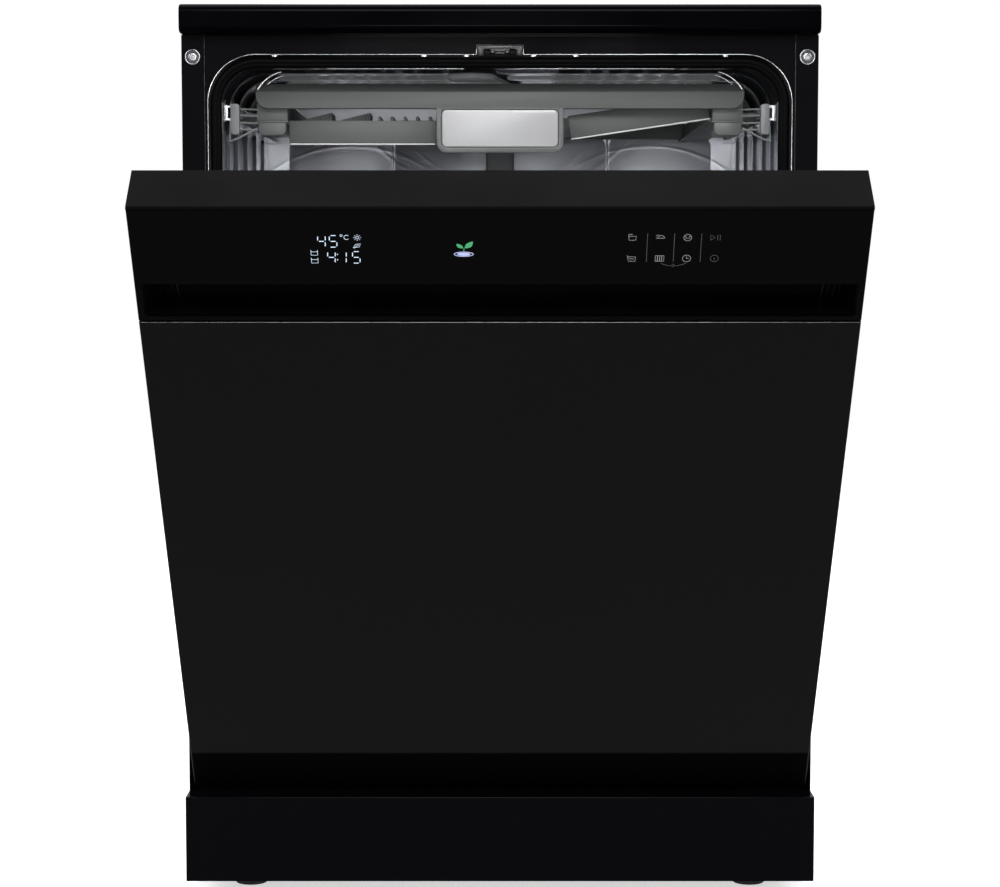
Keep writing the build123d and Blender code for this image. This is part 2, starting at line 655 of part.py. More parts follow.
def door_springs():
    """Balance springs lying along the base, one at each side."""
    x, z, y0 = WALL_IN - 22, PANEL_FOOT_Z + BASE_WALL + SPRING_R + 0.5, SPRING_Y
    y1 = y0 + SPRING_LENGTH
    coil = rod(SPRING_R, (x, y0, z), (x, y1, z)) - rod(SPRING_R - 2.5, (x, y0 - 1, z), (x, y1 + 1, z))
    return mirrored(coil)


# --- hinges ---
def hinge_brackets():
    """Forked bracket on the base that carries each hinge pin."""
    outline = [(HINGE_Y, BRACKET_LOW), (78, BRACKET_LOW), (78, BASE_TOP + FIT)]
    outline += [(BRACKET_BACK, BASE_TOP + FIT), (BRACKET_BACK, 214), (50, 214), (HINGE_Y, HINGE_Z + 6)]
    fork = side_profile(outline, FORK_IN, FORK_OUT)
    fork += rod(EYE_R, (FORK_IN, HINGE_Y, HINGE_Z), (FORK_OUT, HINGE_Y, HINGE_Z))
    gap = ARM_T / 2 + FORK_GAP
    fork -= block(ARM_X - gap, ARM_X + gap, -20, 92, 0, 400)
    fork -= rod(PIN_R + 0.02, (FORK_IN - 1, HINGE_Y, HINGE_Z), (FORK_OUT + 1, HINGE_Y, HINGE_Z))
    return mirrored(fork)


def hinge_pins():
    pin = rod(PIN_R, (FORK_IN - 1.5, HINGE_Y, HINGE_Z), (FORK_OUT + 0.1, HINGE_Y, HINGE_Z))
    pin += rod(PIN_R + 1.8, (FORK_OUT + 0.1, HINGE_Y, HINGE_Z), (FORK_OUT + 1.4, HINGE_Y, HINGE_Z))
    return mirrored(pin)


def hinge_arms():
    """Steel arm inside each edge of the door, with an eye on the hinge pin."""
    y0, y1 = LINER_FLOOR - 30, DOOR_BACK - LINER_T - FIT
    outline = [(y0, HINGE_Z - 30), (y1, HINGE_Z - 30), (y1, HINGE_Z - 6), (HINGE_Y, HINGE_Z - 5)]
    top = HINGE_Z + ARM_LENGTH
    outline += [(HINGE_Y, HINGE_Z + 5), (y1, HINGE_Z + 6), (y1, top), (y0, top)]
    x0, x1 = ARM_X - ARM_T / 2, ARM_X + ARM_T / 2
    arm = side_profile(outline, x0, x1) + rod(EYE_R, (x0, HINGE_Y, HINGE_Z), (x1, HINGE_Y, HINGE_Z))
    arm -= rod(PIN_R + RUNNING, (x0 - 1, HINGE_Y, HINGE_Z), (x1 + 1, HINGE_Y, HINGE_Z))
    foot_flange = block(x1, SIDE_IN - FIT, y0, y0 + 12, HINGE_Z + 20, HINGE_Z + ARM_LENGTH)
    return [swung(p) for p in mirrored(arm + foot_flange)]


# --- door ---
def door_outer_panel():
    pan = block(-DOOR_HALF, DOOR_HALF, DOOR_FACE, DOOR_BACK, DOOR_Z0, SEAM_Z)
    upright = edges_along(pan, Axis.Z, lambda c: c.Y < DOOR_FACE + 1)
    pan = fillet(upright, DOOR_EDGE_R)
    t = PANEL_T
    pan -= block(-SIDE_IN, SIDE_IN, DOOR_FACE + t, DOOR_BACK + 1, DOOR_Z0 + t, SEAM_Z + 1)
    return swung(pan + block(-SIDE_IN, SIDE_IN, DOOR_FACE + t, DOOR_FACE + TAIL_LIP, SEAM_Z - t, SEAM_Z))


def control_fascia():
    """Control panel with the handle recess's opening and a lip under it."""
    pan = block(-DOOR_HALF, DOOR_HALF, DOOR_FACE, DOOR_BACK, FASCIA_Z0, CAP_Z0)
    upright = edges_along(pan, Axis.Z, lambda c: c.Y < DOOR_FACE + 1)
    pan = fillet(upright, DOOR_EDGE_R)
    pan -= block(-SIDE_IN, SIDE_IN, GLASS_BACK, DOOR_BACK + 1, FASCIA_Z0 - 1, CAP_Z0 + 1)
    half = DOOR_HALF - RECESS_SIDE
    hole = block(-half, half, DOOR_FACE - 1, GLASS_BACK + 1, RECESS_Z0, RECESS_Z1)
    low = edges_along(hole, Axis.Y, lambda c: c.Z < RECESS_Z0 + 1)
    pan -= fillet(low, RECESS_ROUND)
    return swung(pan)


def door_top_cap():
    cap = block(-DOOR_HALF, DOOR_HALF, DOOR_FACE, DOOR_BACK, CAP_Z0 + 0.2, DOOR_Z1)
    front = edges_along(cap, Axis.X, lambda c: c.Y < DOOR_FACE + 1 and c.Z > DOOR_Z1 - 1)
    cap = chamfer(front, CAP_CHAMFER)
    slot = block(-PRONG_X - PRONG_W, PRONG_X + PRONG_W, -14, 1, CAP_Z0 - 1, CAP_Z0 + 1.2)
    return swung(cap - slot)


def handle_pocket():
    """Finger recess behind the fascia's opening, with slanted end walls."""
    y0, y1 = GLASS_BACK + 0.15, GLASS_BACK + POCKET_DEPTH
    z0, z1 = RECESS_Z0 - POCKET_WALL, RECESS_Z1 + POCKET_RISE
    half = SIDE_IN - FIT
    pocket = block(-half, half, y0, y1, z0, z1)
    mouth, slant = half - 4, POCKET_SLANT
    back = y1 - POCKET_WALL
    plan = [(-mouth, y0 - 1), (mouth, y0 - 1), (mouth - slant, back), (slant - mouth, back)]
    plane = Plane.XY.offset(z0 + POCKET_WALL)
    hollow = extrude(plane * make_face(Polyline(*plan, close=True)), z1 - z0 - 2 * POCKET_WALL)
    return swung(pocket - hollow)


def door_inner_liner():
    """Steel liner: flat rim with a shallow pan, a hole for the dispenser and hinge slots."""
    rim = block(-SIDE_IN + FIT, SIDE_IN - FIT, DOOR_BACK - LINER_T, DOOR_BACK, DOOR_Z0 + 6, CAP_Z0 - FIT)
    outer = liner_pan(DOOR_BACK, LINER_FLOOR - LINER_T, 0)
    inner = liner_pan(DOOR_BACK + 1, LINER_FLOOR, LINER_T)
    liner = rim + outer - inner
    liner -= block(DISP_X0, DISP_X1, -40, 5, DISP_Z0, DISP_Z1)
    for slot in mirrored(block(ARM_X - 3, ARM_X + 3, -20, 5, HINGE_Z - 14, HINGE_Z + 14)):
        liner -= slot
    liner -= block(-STRIKE_HALF, STRIKE_HALF, -9, 5, STRIKE_Z0 - 4, CAP_Z0)
    return swung(liner)


def liner_pan(y_top, y_floor, wall):
    outline = Pos(0, (PAN_Z0 + PAN_Z1) / 2) * RectangleRounded(
        2 * (PAN_HALF - wall), PAN_Z1 - PAN_Z0 - 2 * wall, PAN_R - wall)
    return extrude(frame_plane(y_top) * outline, y_top - y_floor)


def door_bottom_seal():
    return swung(block(-TUB_HALF + 3, TUB_HALF - 3, DOOR_BACK + 0.02, DOOR_BACK + 0.7, HINGE_Z + 2, SILL_Z + 3))


def display_module():
    y = GLASS_BACK + 0.2
    return swung(block(DISPLAY_X0, DISPLAY_X1, y, y + 9, DISPLAY_Z0, DISPLAY_Z1))


def control_board():
    y = GLASS_BACK + 0.2
    board = block(BOARD_X0, BOARD_X1, y, y + 2, BOARD_Z0, BOARD_Z1)
    board += block(BOARD_X0 + 14, BOARD_X1 - 16, y + 2, y + 10, BOARD_Z0 + 10, BOARD_Z1 - 10)
    return swung(board)


def dispenser_body():
    """Detergent cup and rinse aid tank set into the liner."""
    y0, y1 = LINER_FLOOR - 26, LINER_FLOOR + 1
    body = block(DISP_X0 + FIT, DISP_X1 - FIT, y0, y1, DISP_Z0 + FIT, DISP_Z1 - FIT)
    body = fillet(edges_along(body, Axis.Y, lambda c: True), 6)
    cup = block(CUP_IN_X0, CUP_IN_X1, y0 + 3, y1 + 1, DISP_Z0 + 16, DISP_Z1 - 16)
    body -= fillet(edges_along(cup, Axis.Y, lambda c: True), 8)
    x, z = RINSE_X, (DISP_Z0 + DISP_Z1) / 2
    body -= rod(RINSE_R - 3, (x, y0 + 8, z), (x, y1 + 1, z))
    for z in (DISP_Z0 + 9, DISP_Z1 - 11.5):
        body += block(DISP_X0 + 4, DISP_X1 - 6, y1, y1 + 2.5, z, z + 2.5)
    return swung(body)


def dispenser_lid():
    """Lid that slides sideways between the two guides to open the cup."""
    y = LINER_FLOOR + 1 + FIT
    z0, z1 = DISP_Z0 + 11.5 + FIT, DISP_Z1 - 11.5 - FIT
    lid = block(CUP_IN_X0 - LID_OVERLAP, CUP_IN_X1 + LID_OVERLAP, y, y + 2.2, z0, z1)
    lid += block(CUP_IN_X1 - 4, CUP_IN_X1 + 2, y + 2.2, y + 5, z0 + 20, z1 - 20)
    return swung(lid)


def rinse_aid_cap():
    z, y = (DISP_Z0 + DISP_Z1) / 2, LINER_FLOOR + 1 + FIT
    cap = rod(RINSE_R, (RINSE_X, y, z), (RINSE_X, y + 2.4, z))
    cap = fillet(cap.edges().group_by(Axis.Y)[-1], 1.0)
    cap += rod(RINSE_R - 3.5, (RINSE_X, y - 10, z), (RINSE_X, y, z))
    return swung(cap + block(RINSE_X - 10, RINSE_X + 10, y + 2, y + 5.5, z - 2.5, z + 2.5))


def latch_housing():
    """Plastic latch case inside the door's top edge, with a pivot for the pawl."""
    y0, y1 = CASE_BACK, DOOR_BACK - LINER_T - FIT
    case = block(-STRIKE_HALF + 1, STRIKE_HALF - 1, y0, y1, CASE_Z0, CAP_Z0 - FIT)
    case -= block(-PAWL_HALF - 3, PAWL_HALF + 3, y0 + 3, y1 + 1, CASE_Z0 + 4, CAP_Z0)
    return swung(case + rod(PAWL_PIN_R, (-PAWL_HALF - 4, PAWL_Y, PAWL_Z), (PAWL_HALF + 4, PAWL_Y, PAWL_Z)))


def latch_pawl():
    eye = rod(4.2, (-PAWL_HALF, PAWL_Y, PAWL_Z), (PAWL_HALF, PAWL_Y, PAWL_Z))
    hook = eye + block(-PAWL_HALF, PAWL_HALF, PAWL_Y, -3, PAWL_Z - 1.8, PAWL_Z + 1.8)
    hook += block(-PAWL_HALF, PAWL_HALF, -5.5, -3, PAWL_Z, PAWL_Z + 6)
    return swung(hook - rod(PAWL_PIN_R + RUNNING, (-12, PAWL_Y, PAWL_Z), (12, PAWL_Y, PAWL_Z)))


# --- rails in the tub ---
def channel(z0, height, y0, y1):
    """C-shaped rail on the tub's right wall, open towards the middle."""
    x1 = TUB_HALF - FIT
    rail = block(x1 - RAIL_W, x1, y0, y1, z0, z0 + height)
    return rail - block(x1 - RAIL_W - 1, x1 - RAIL_T, y0 - 1, y1 + 1, z0 + RAIL_T, z0 + height - RAIL_T)


def runner(z0, height, y0, y1, x_in):
    """Slide that lies in a channel, with its neck reaching in to x_in."""
    x1 = TUB_HALF - FIT - RAIL_T - RUNNER_GAP
    z, z1 = z0 + RAIL_T + RUNNER_GAP, z0 + height - RAIL_T - RUNNER_GAP
    middle = (z + z1) / 2
    neck = block(x_in, TUB_HALF - RAIL_W - 1.6, y0, y1, middle - 2, middle + 2)
    return neck + block(TUB_HALF - RAIL_W - 3, x1, y0, y1, z, z1)


def tray_rails():
    return mirrored(channel(TRAY_RAIL_Z, TRAY_RAIL_H, TRAY_FRONT + 4, TUB_BACK - 4))


def upper_rails():
    return mirrored(channel(UPPER_RAIL_Z, RAIL_H, BASKET_FRONT + 6, TUB_BACK - 4))


# --- cutlery tray ---
def cutlery_tray():
    """Front rail with the grip's frame, side troughs, keels, back rail and runners."""
    y0, y1 = TRAY_FRONT, TRAY_FRONT + TRAY_LENGTH
    rail = block(-TRAY_HALF, TRAY_HALF, y0, y0 + TRAY_RAIL_T, TRAY_Z0, TRAY_Z1)
    rail = fillet(edges_along(rail, Axis.Y, lambda c: c.Z < TRAY_Z0 + 1), TRAY_ROUND)
    grip = block(-GRIP_HALF, GRIP_HALF, y0, y0 + GRIP_T, GRIP_Z0, TRAY_Z0 + 2)
    grip = fillet(edges_along(grip, Axis.Y, lambda c: c.Z < GRIP_Z0 + 1), GRIP_ROUND)
    inner = GRIP_HALF - GRIP_BORDER
    grip -= block(-inner, inner, y0 - 1, y0 + 2, GRIP_Z0 + GRIP_BORDER, TRAY_Z0 - 1)
    tray = rail + grip + block(-TRAY_HALF, TRAY_HALF, y1 - 6, y1, TROUGH_Z + 1, TRAY_Z0 + 10)
    for sign, floor_z in ((-1, INSERT_FLOOR), (1, INSERT_FLOOR + RIGHT_RISE)):
        side = side_trough(y0 + 10, y1, floor_z) + centre_keel(y0 + 8, y1 - 4, floor_z)
        tray += side if sign > 0 else mirror(side, Plane.YZ)
    return tray


def centre_keel(y0, y1, floor_z):
    """Lengthwise bar whose ledge carries the inner edge of an insert."""
    x1 = INSERT_IN - INSERT_GAP
    low, high = floor_z - FIT - LEDGE_T, floor_z - FIT
    keel = block(x1 - KEEL_W, x1, y0, y1, low, TRAY_Z0 + 8)
    return keel + block(x1 - 1, x1 + INSERT_SHIFT + LEDGE_W, y0 + 16, y1 - 10, low, high)


def side_trough(y0, y1, floor_z):
    """Hollow side of the tray, deep only at its front end, with ledge and runner."""
    x0, x1, t = TRAY_HALF - TRAY_BLOCK_W, TRAY_HALF, TROUGH_WALL
    top, low, high = TRAY_Z0 + 6, floor_z - FIT - LEDGE_T, floor_z - FIT
    end_z, end_y = INSERT_Z0 + 8, y0 + END_DEPTH
    trough = block(x0, x1, y0, end_y, end_z, top) + block(x0, x1, end_y, y1, TROUGH_Z, top)
    trough -= block(x0 + t, x1 - t, y0 + t, end_y - t, end_z + t, top + 1)
    trough -= block(x0 + t, x1 - t, y0 + t, y1 - t, TROUGH_Z + t, top + 1)
    trough += block(x0, x0 + t, y0 + 14, y1, low, TROUGH_Z + t)
    trough += block(x0 - LEDGE_W, x0 + 1, y0 + 14, y1 - 10, low, high)
    return trough + runner(TRAY_RAIL_Z, TRAY_RAIL_H, y0 + 30, y1 - 20, x1 - t)


def tray_handle_plate():
    inner = GRIP_HALF - GRIP_BORDER - FIT
    y = TRAY_FRONT + 2 - FIT
    plate = block(-inner, inner, y - PLATE_T, y, GRIP_Z0 + GRIP_BORDER + FIT, TRAY_Z0 - 1 - FIT)
    return fillet(edges_along(plate, Axis.Y, lambda c: True), 4.5)


def insert_pan(x0, x1):
    """Slotted floor with a deep skirt in front and a low back wall."""
    y0, y1 = TRAY_FRONT + INSERT_FRONT, TRAY_FRONT + TRAY_LENGTH - 12
    z, t = INSERT_FLOOR, INSERT_T
    pan = block(x0, x1, y0, y1, z, z + t) + block(x0, x1, y1 - t, y1, z, z + INSERT_WALL)
    pan += block(x0, x1, y0, y0 + t, INSERT_Z0, z + t)
    for x in steps(x0 + 16, x1 - 22, SLOT_PITCH):
        pan -= block(x, x + SLOT_W, y0 + 14, y1 - 14, z - 1, z + t + 1)
    return pan


def tray_insert_left():
    """Left insert: two ramps behind the skirt and a comb of lengthwise ribs."""
    pan = insert_pan(-TRAY_HALF + TRAY_BLOCK_W + INSERT_GAP, -INSERT_IN)
    y0 = TRAY_FRONT + INSERT_FRONT
    y1, top = TRAY_FRONT + TRAY_LENGTH - 12, INSERT_FLOOR + INSERT_T
    for x in RAMP_X:
        ramp = Polyline((x, top - 1), (x + RAMP_L, top - 1), (x + RAMP_L, top - 1 + RAMP_H), close=True)
        pan += extrude(frame_plane(y0 + RAMP_T) * make_face(ramp), RAMP_T)
    for x in steps(COMB_X0, COMB_X1 - COMB_T, COMB_PITCH):
        pan += block(x, x + COMB_T, y0, y1, INSERT_FLOOR, top + COMB_H)
    return pan


def tray_insert_right():
    """Right insert, tilted up about its inner edge, with low cross bars."""
    x0 = INSERT_IN + INSERT_SHIFT
    x1 = TRAY_HALF - TRAY_BLOCK_W - 3
    pan = insert_pan(x0, x1)
    y0, z = TRAY_FRONT + INSERT_FRONT, INSERT_FLOOR
    for y in steps(y0 + 220, y0 + 370, TOOTH_PITCH):
        pan += block(x0 + 8, x1 - 8, y, y + TOOTH_T, z, z + INSERT_T + CROSS_H)
    pivot = Axis((x0, 0, z + RIGHT_RISE), (0, 1, 0))
    return (Pos(0, 0, RIGHT_RISE) * pan).rotate(pivot, -INSERT_TILT)


# --- baskets ---
def lattice(u0, u1, v0, v1, make):
    """Flat wire grid as one solid; make(u0, u1, v0, v1) gives the slab for a span."""
    grid = make(u0, u1, v0, v1)
    us, vs = steps(u0, u1 - WIRE, MESH), steps(v0, v1 - WIRE, MESH)
    holes = [make(a + WIRE, b, c + WIRE, d) for a, b in zip(us, us[1:]) for c, d in zip(vs, vs[1:])]
    grow = []
    for hole in holes:
        size, spot = hole.bounding_box().size, hole.bounding_box().center()
        thin = min(size.X, size.Y, size.Z)
        sizes = [s + 2 if s == thin else s for s in (size.X, size.Y, size.Z)]
        grow.append(Pos(spot) * Box(*sizes))
    return grid - grow


def basket(z0, height, drop):
    """Floor and four walls of wire, the front wall lower by drop."""
    h, y0, y1 = BASKET_HALF, BASKET_FRONT, BASKET_FRONT + BASKET_DEPTH
    w, top = WIRE, z0 + height
    floor = lattice(-h, h, y0, y1, lambda a, b, c, d: block(a, b, c, d, z0, z0 + w))
    sides = [lattice(y0, y1, z0 + w, top, lambda a, b, c, d: block(x, x + w, a, b, c, d)) for x in (-h, h - w)]
    i = h - w
    front = lattice(-i, i, z0 + w, top - drop, lambda a, b, c, d: block(a, b, y0, y0 + w, c, d))
    back = lattice(-i, i, z0 + w, top, lambda a, b, c, d: block(a, b, y1 - w, y1, c, d))
    return [floor, front, back] + sides


def tine_row(y, z, x0, x1, height):
    row = block(x0, x1, y, y + WIRE, z, z + WIRE)
    for x in steps(x0, x1 - WIRE, TINE_STEP):
        row += block(x, x + WIRE, y, y + WIRE, z, z + height)
    return row


def upper_basket():
    """Upper basket with its runners, a front grip and the spray arm's spindle."""
    pieces = basket(UPPER_Z0, UPPER_H, FRONT_DROP)
    slide = runner(UPPER_RAIL_Z, RAIL_H, BASKET_FRONT + 30, BASKET_FRONT + 440, BASKET_HALF)
    pieces += mirrored(slide)
    z_top = UPPER_Z0
    feed = block(-SPOUT_HALF, SPOUT_HALF, ARM_Y - 12, BASKET_FRONT + BASKET_DEPTH + 1.7, z_top - 11, z_top)
    feed += rod(MIDDLE_SPINDLE_R, (0, ARM_Y, MIDDLE_ARM_Z - 3), (0, ARM_Y, z_top - 10))
    pieces.append(feed)
    z = UPPER_Z0 + UPPER_H - FRONT_DROP
    pieces.append(block(-60, 60, BASKET_FRONT - GRIP_REACH, BASKET_FRONT, z - 14, z + 2))
    for y in steps(110, 430, 80):
        pieces.append(tine_row(y, UPPER_Z0 + WIRE, TINE_INSET - BASKET_HALF, 120, UPPER_TINE_H))
    return pieces


def cup_shelf():
    """Folding cup shelf beside the upper basket's right wall, shown lowered."""
    x1 = BASKET_HALF - WIRE - SHELF_GAP
    z, w = SHELF_Z, WIRE
    return lattice(x1 - SHELF_W, x1, SHELF_Y0, SHELF_Y1, lambda a, b, c, d: block(a, b, c, d, z, z + w))


def lower_basket():
    """Lower basket with two fixed tine rows, axle blocks and a front grip."""
    pieces = basket(LOWER_Z0, LOWER_H, 0)
    reach = BASKET_HALF - TINE_INSET
    for y in FIXED_TINES:
        pieces.append(tine_row(y, LOWER_Z0 + WIRE, -reach, reach, TINE_H))
    for y in (WHEEL_FRONT, WHEEL_REAR):
        z = FLOOR_Z + WHEEL_R
        leg = block(BASKET_HALF - 8, BASKET_HALF - 2, y - 8, y + 8, z - 7, LOWER_Z0)
        leg += rod(WHEEL_BORE - RUNNING, (BASKET_HALF - 4, y, z), (BASKET_HALF + 13, y, z))
        pieces += mirrored(leg)
    z = LOWER_Z0 + LOWER_H
    pieces.append(block(-70, 70, BASKET_FRONT - GRIP_REACH, BASKET_FRONT, z - 16, z + 2))
    return pieces


def plate_tines():
    """Folding tine row of the lower basket, upright."""
    reach = BASKET_HALF - TINE_INSET - 4
    return tine_row(TINE_AXIS_Y, LOWER_Z0 + WIRE + TINE_AXIS_LIFT, -reach, reach, TINE_H)


def wheels(y):
    z, x0 = FLOOR_Z + WHEEL_R, BASKET_HALF - 2 + 1.2
    wheel = rod(WHEEL_R - FIT, (x0, y, z), (x0 + WHEEL_T, y, z))
    wheel = fillet(wheel.edges().group_by(Axis.X)[-1] + wheel.edges().group_by(Axis.X)[0], 1.5)
    wheel -= rod(WHEEL_BORE, (x0 - 1, y, z), (x0 + WHEEL_T + 1, y, z))
    return mirrored(wheel)


# --- spray arms ---
def spray_arm(z, thick, turn, bore):
    """Two-bladed arm with a hub, drawn along Y and turned about its spindle."""
    blade = Pos(0, 0, z + thick / 2) * Box(SPRAY_W, 2 * SPRAY_R, thick)
    blade = fillet(edges_along(blade, Axis.Z, lambda c: True), SPRAY_W / 2 - 1)
    blade = chamfer(blade.edges().group_by(Axis.Z)[0], thick / 4)
    arm = blade + rod(HUB_R, (0, 0, z - 1), (0, 0, z + thick + 0.8))
    arm -= rod(bore, (0, 0, z - 9), (0, 0, z + thick + 9))
    for y in steps(60, SPRAY_R - 26, 42):
        for s in (-1, 1):
            arm -= Pos(s * 6, s * y, z + thick) * Box(9, 3, 2)
    return Pos(0, ARM_Y, 0) * arm.rotate(Axis.Z, turn)


def top_spray_arm():
    return spray_arm(TOP_ARM_Z, TOP_ARM_T, TOP_ARM_TURN, TOP_SPINDLE_R + RUNNING)


def middle_spray_arm():
    return spray_arm(MIDDLE_ARM_Z, SPRAY_T, MIDDLE_ARM_TURN, MIDDLE_SPINDLE_R + RUNNING)


def lower_spray_arm():
    return spray_arm(LOWER_ARM_Z, SPRAY_T, LOWER_ARM_TURN, COLUMN_R + RUNNING)


def main():
    os.makedirs("parts", exist_ok=True)
    save("worktop", worktop())
    save("side_panel_left", side_panel(-1))
    save("side_panel_right", side_panel(1))
    save("back_panel", back_panel())
    save("front_frame", front_frame())
    save("kick_plate", kick_plate())
    save("base_tray", base_tray())
    names = ("foot_front_left", "foot_front_right", "foot_rear_left", "foot_rear_right")
    for name, place in zip(names, foot_places()):
        save(name, foot(*place))
    save("flange_screws", flange_screws())
    save("latch_strike", latch_strike())
    save("tub_wrapper", tub_wrapper())
    save("tub_back", tub_back())
    save("tub_floor", tub_floor())
    save("tub_seal", tub_seal())
    save("sump", sump())
    save("filter_plate", filter_plate())
    save("filter_cup", filter_cup())
    save("salt_reservoir", salt_reservoir())
    save("salt_cap", salt_cap())
    save("circulation_pump", circulation_pump())
    save("drain_pump", drain_pump())
    save("inlet_valve", inlet_valve())
    save("mains_terminal", mains_terminal())
    save("air_breaker", air_breaker())
    save("feed_duct", feed_duct())
    save("door_springs", door_springs())
    save("hinge_brackets", hinge_brackets())
    save("hinge_pins", hinge_pins())
    save("hinge_arms", hinge_arms())
    save("door_outer_panel", door_outer_panel())
    save("control_fascia", control_fascia())
    save("door_top_cap", door_top_cap())
    save("handle_pocket", handle_pocket())
    save("door_inner_liner", door_inner_liner())
    save("door_bottom_seal", door_bottom_seal())
    save("display_module", display_module())
    save("control_board", control_board())
    save("dispenser_body", dispenser_body())
    save("dispenser_lid", dispenser_lid())
    save("rinse_aid_cap", rinse_aid_cap())
    save("latch_housing", latch_housing())
    save("latch_pawl", latch_pawl())
    save("tray_rails", tray_rails())
    save("upper_rails", upper_rails())
    save("cutlery_tray", cutlery_tray())
    save("tray_handle_plate", tray_handle_plate())
    save("tray_insert_left", tray_insert_left())
    save("tray_insert_right", tray_insert_right())
    save("upper_basket", upper_basket())
    save("cup_shelf", cup_shelf())
    save("lower_basket", lower_basket())
    save("plate_tines", plate_tines())
    save("wheels_front", wheels(WHEEL_FRONT))
    save("wheels_rear", wheels(WHEEL_REAR))
    save("top_spray_arm", top_spray_arm())
    save("middle_spray_arm", middle_spray_arm())
    save("lower_spray_arm", lower_spray_arm())


main()
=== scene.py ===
import bpy
import json
import math
from mathutils import Matrix, Vector


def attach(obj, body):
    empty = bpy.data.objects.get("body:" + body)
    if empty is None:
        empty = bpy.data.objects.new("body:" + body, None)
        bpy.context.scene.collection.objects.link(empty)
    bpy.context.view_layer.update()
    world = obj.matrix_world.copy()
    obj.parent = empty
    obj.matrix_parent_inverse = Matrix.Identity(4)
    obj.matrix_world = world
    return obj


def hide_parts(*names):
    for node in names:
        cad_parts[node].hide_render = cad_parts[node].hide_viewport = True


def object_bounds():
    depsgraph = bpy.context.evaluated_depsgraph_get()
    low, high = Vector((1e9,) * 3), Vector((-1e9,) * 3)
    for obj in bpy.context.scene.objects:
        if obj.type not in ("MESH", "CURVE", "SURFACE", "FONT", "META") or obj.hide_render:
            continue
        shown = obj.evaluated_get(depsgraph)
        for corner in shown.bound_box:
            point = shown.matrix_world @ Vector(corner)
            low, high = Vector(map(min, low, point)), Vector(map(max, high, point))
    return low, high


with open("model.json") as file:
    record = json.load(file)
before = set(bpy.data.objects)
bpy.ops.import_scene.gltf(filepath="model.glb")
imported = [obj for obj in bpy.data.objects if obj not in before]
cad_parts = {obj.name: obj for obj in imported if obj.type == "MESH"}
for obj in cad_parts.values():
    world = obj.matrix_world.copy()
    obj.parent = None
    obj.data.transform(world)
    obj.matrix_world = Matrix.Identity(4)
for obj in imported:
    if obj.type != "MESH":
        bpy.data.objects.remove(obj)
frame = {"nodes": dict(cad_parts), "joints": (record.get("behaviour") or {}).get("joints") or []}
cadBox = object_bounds()
cad = frame["nodes"]
bpy.ops.object.select_all(action="DESELECT")
print("frame loaded:", len(cad), "nodes")

mm = 0.001
doorJoint = next(j for j in frame["joints"] if j["name"] == "door_hinge")
hingeAt = Vector(doorJoint["pos_m"])
openAngle = math.radians(-doorJoint["range_deg"][0])


class Sock:
    # one node output that can stand in a sum
    def __init__(self, paint, out):
        self.paint = paint
        self.out = out

    def sum(self, operation, first, second):
        return self.paint.node("ShaderNodeMath", {"operation": operation}, {0: first, 1: second})

    def __add__(self, other):
        return self.sum("ADD", self, other)

    def __radd__(self, other):
        return self.sum("ADD", other, self)

    def __sub__(self, other):
        return self.sum("SUBTRACT", self, other)

    def __rsub__(self, other):
        return self.sum("SUBTRACT", other, self)

    def __mul__(self, other):
        return self.sum("MULTIPLY", self, other)

    def __rmul__(self, other):
        return self.sum("MULTIPLY", other, self)

    def __truediv__(self, other):
        return self.sum("DIVIDE", self, other)

    def __pow__(self, other):
        return self.sum("POWER", self, other)

    def __gt__(self, other):
        return self.sum("GREATER_THAN", self, other)

    def __lt__(self, other):
        return self.sum("LESS_THAN", self, other)


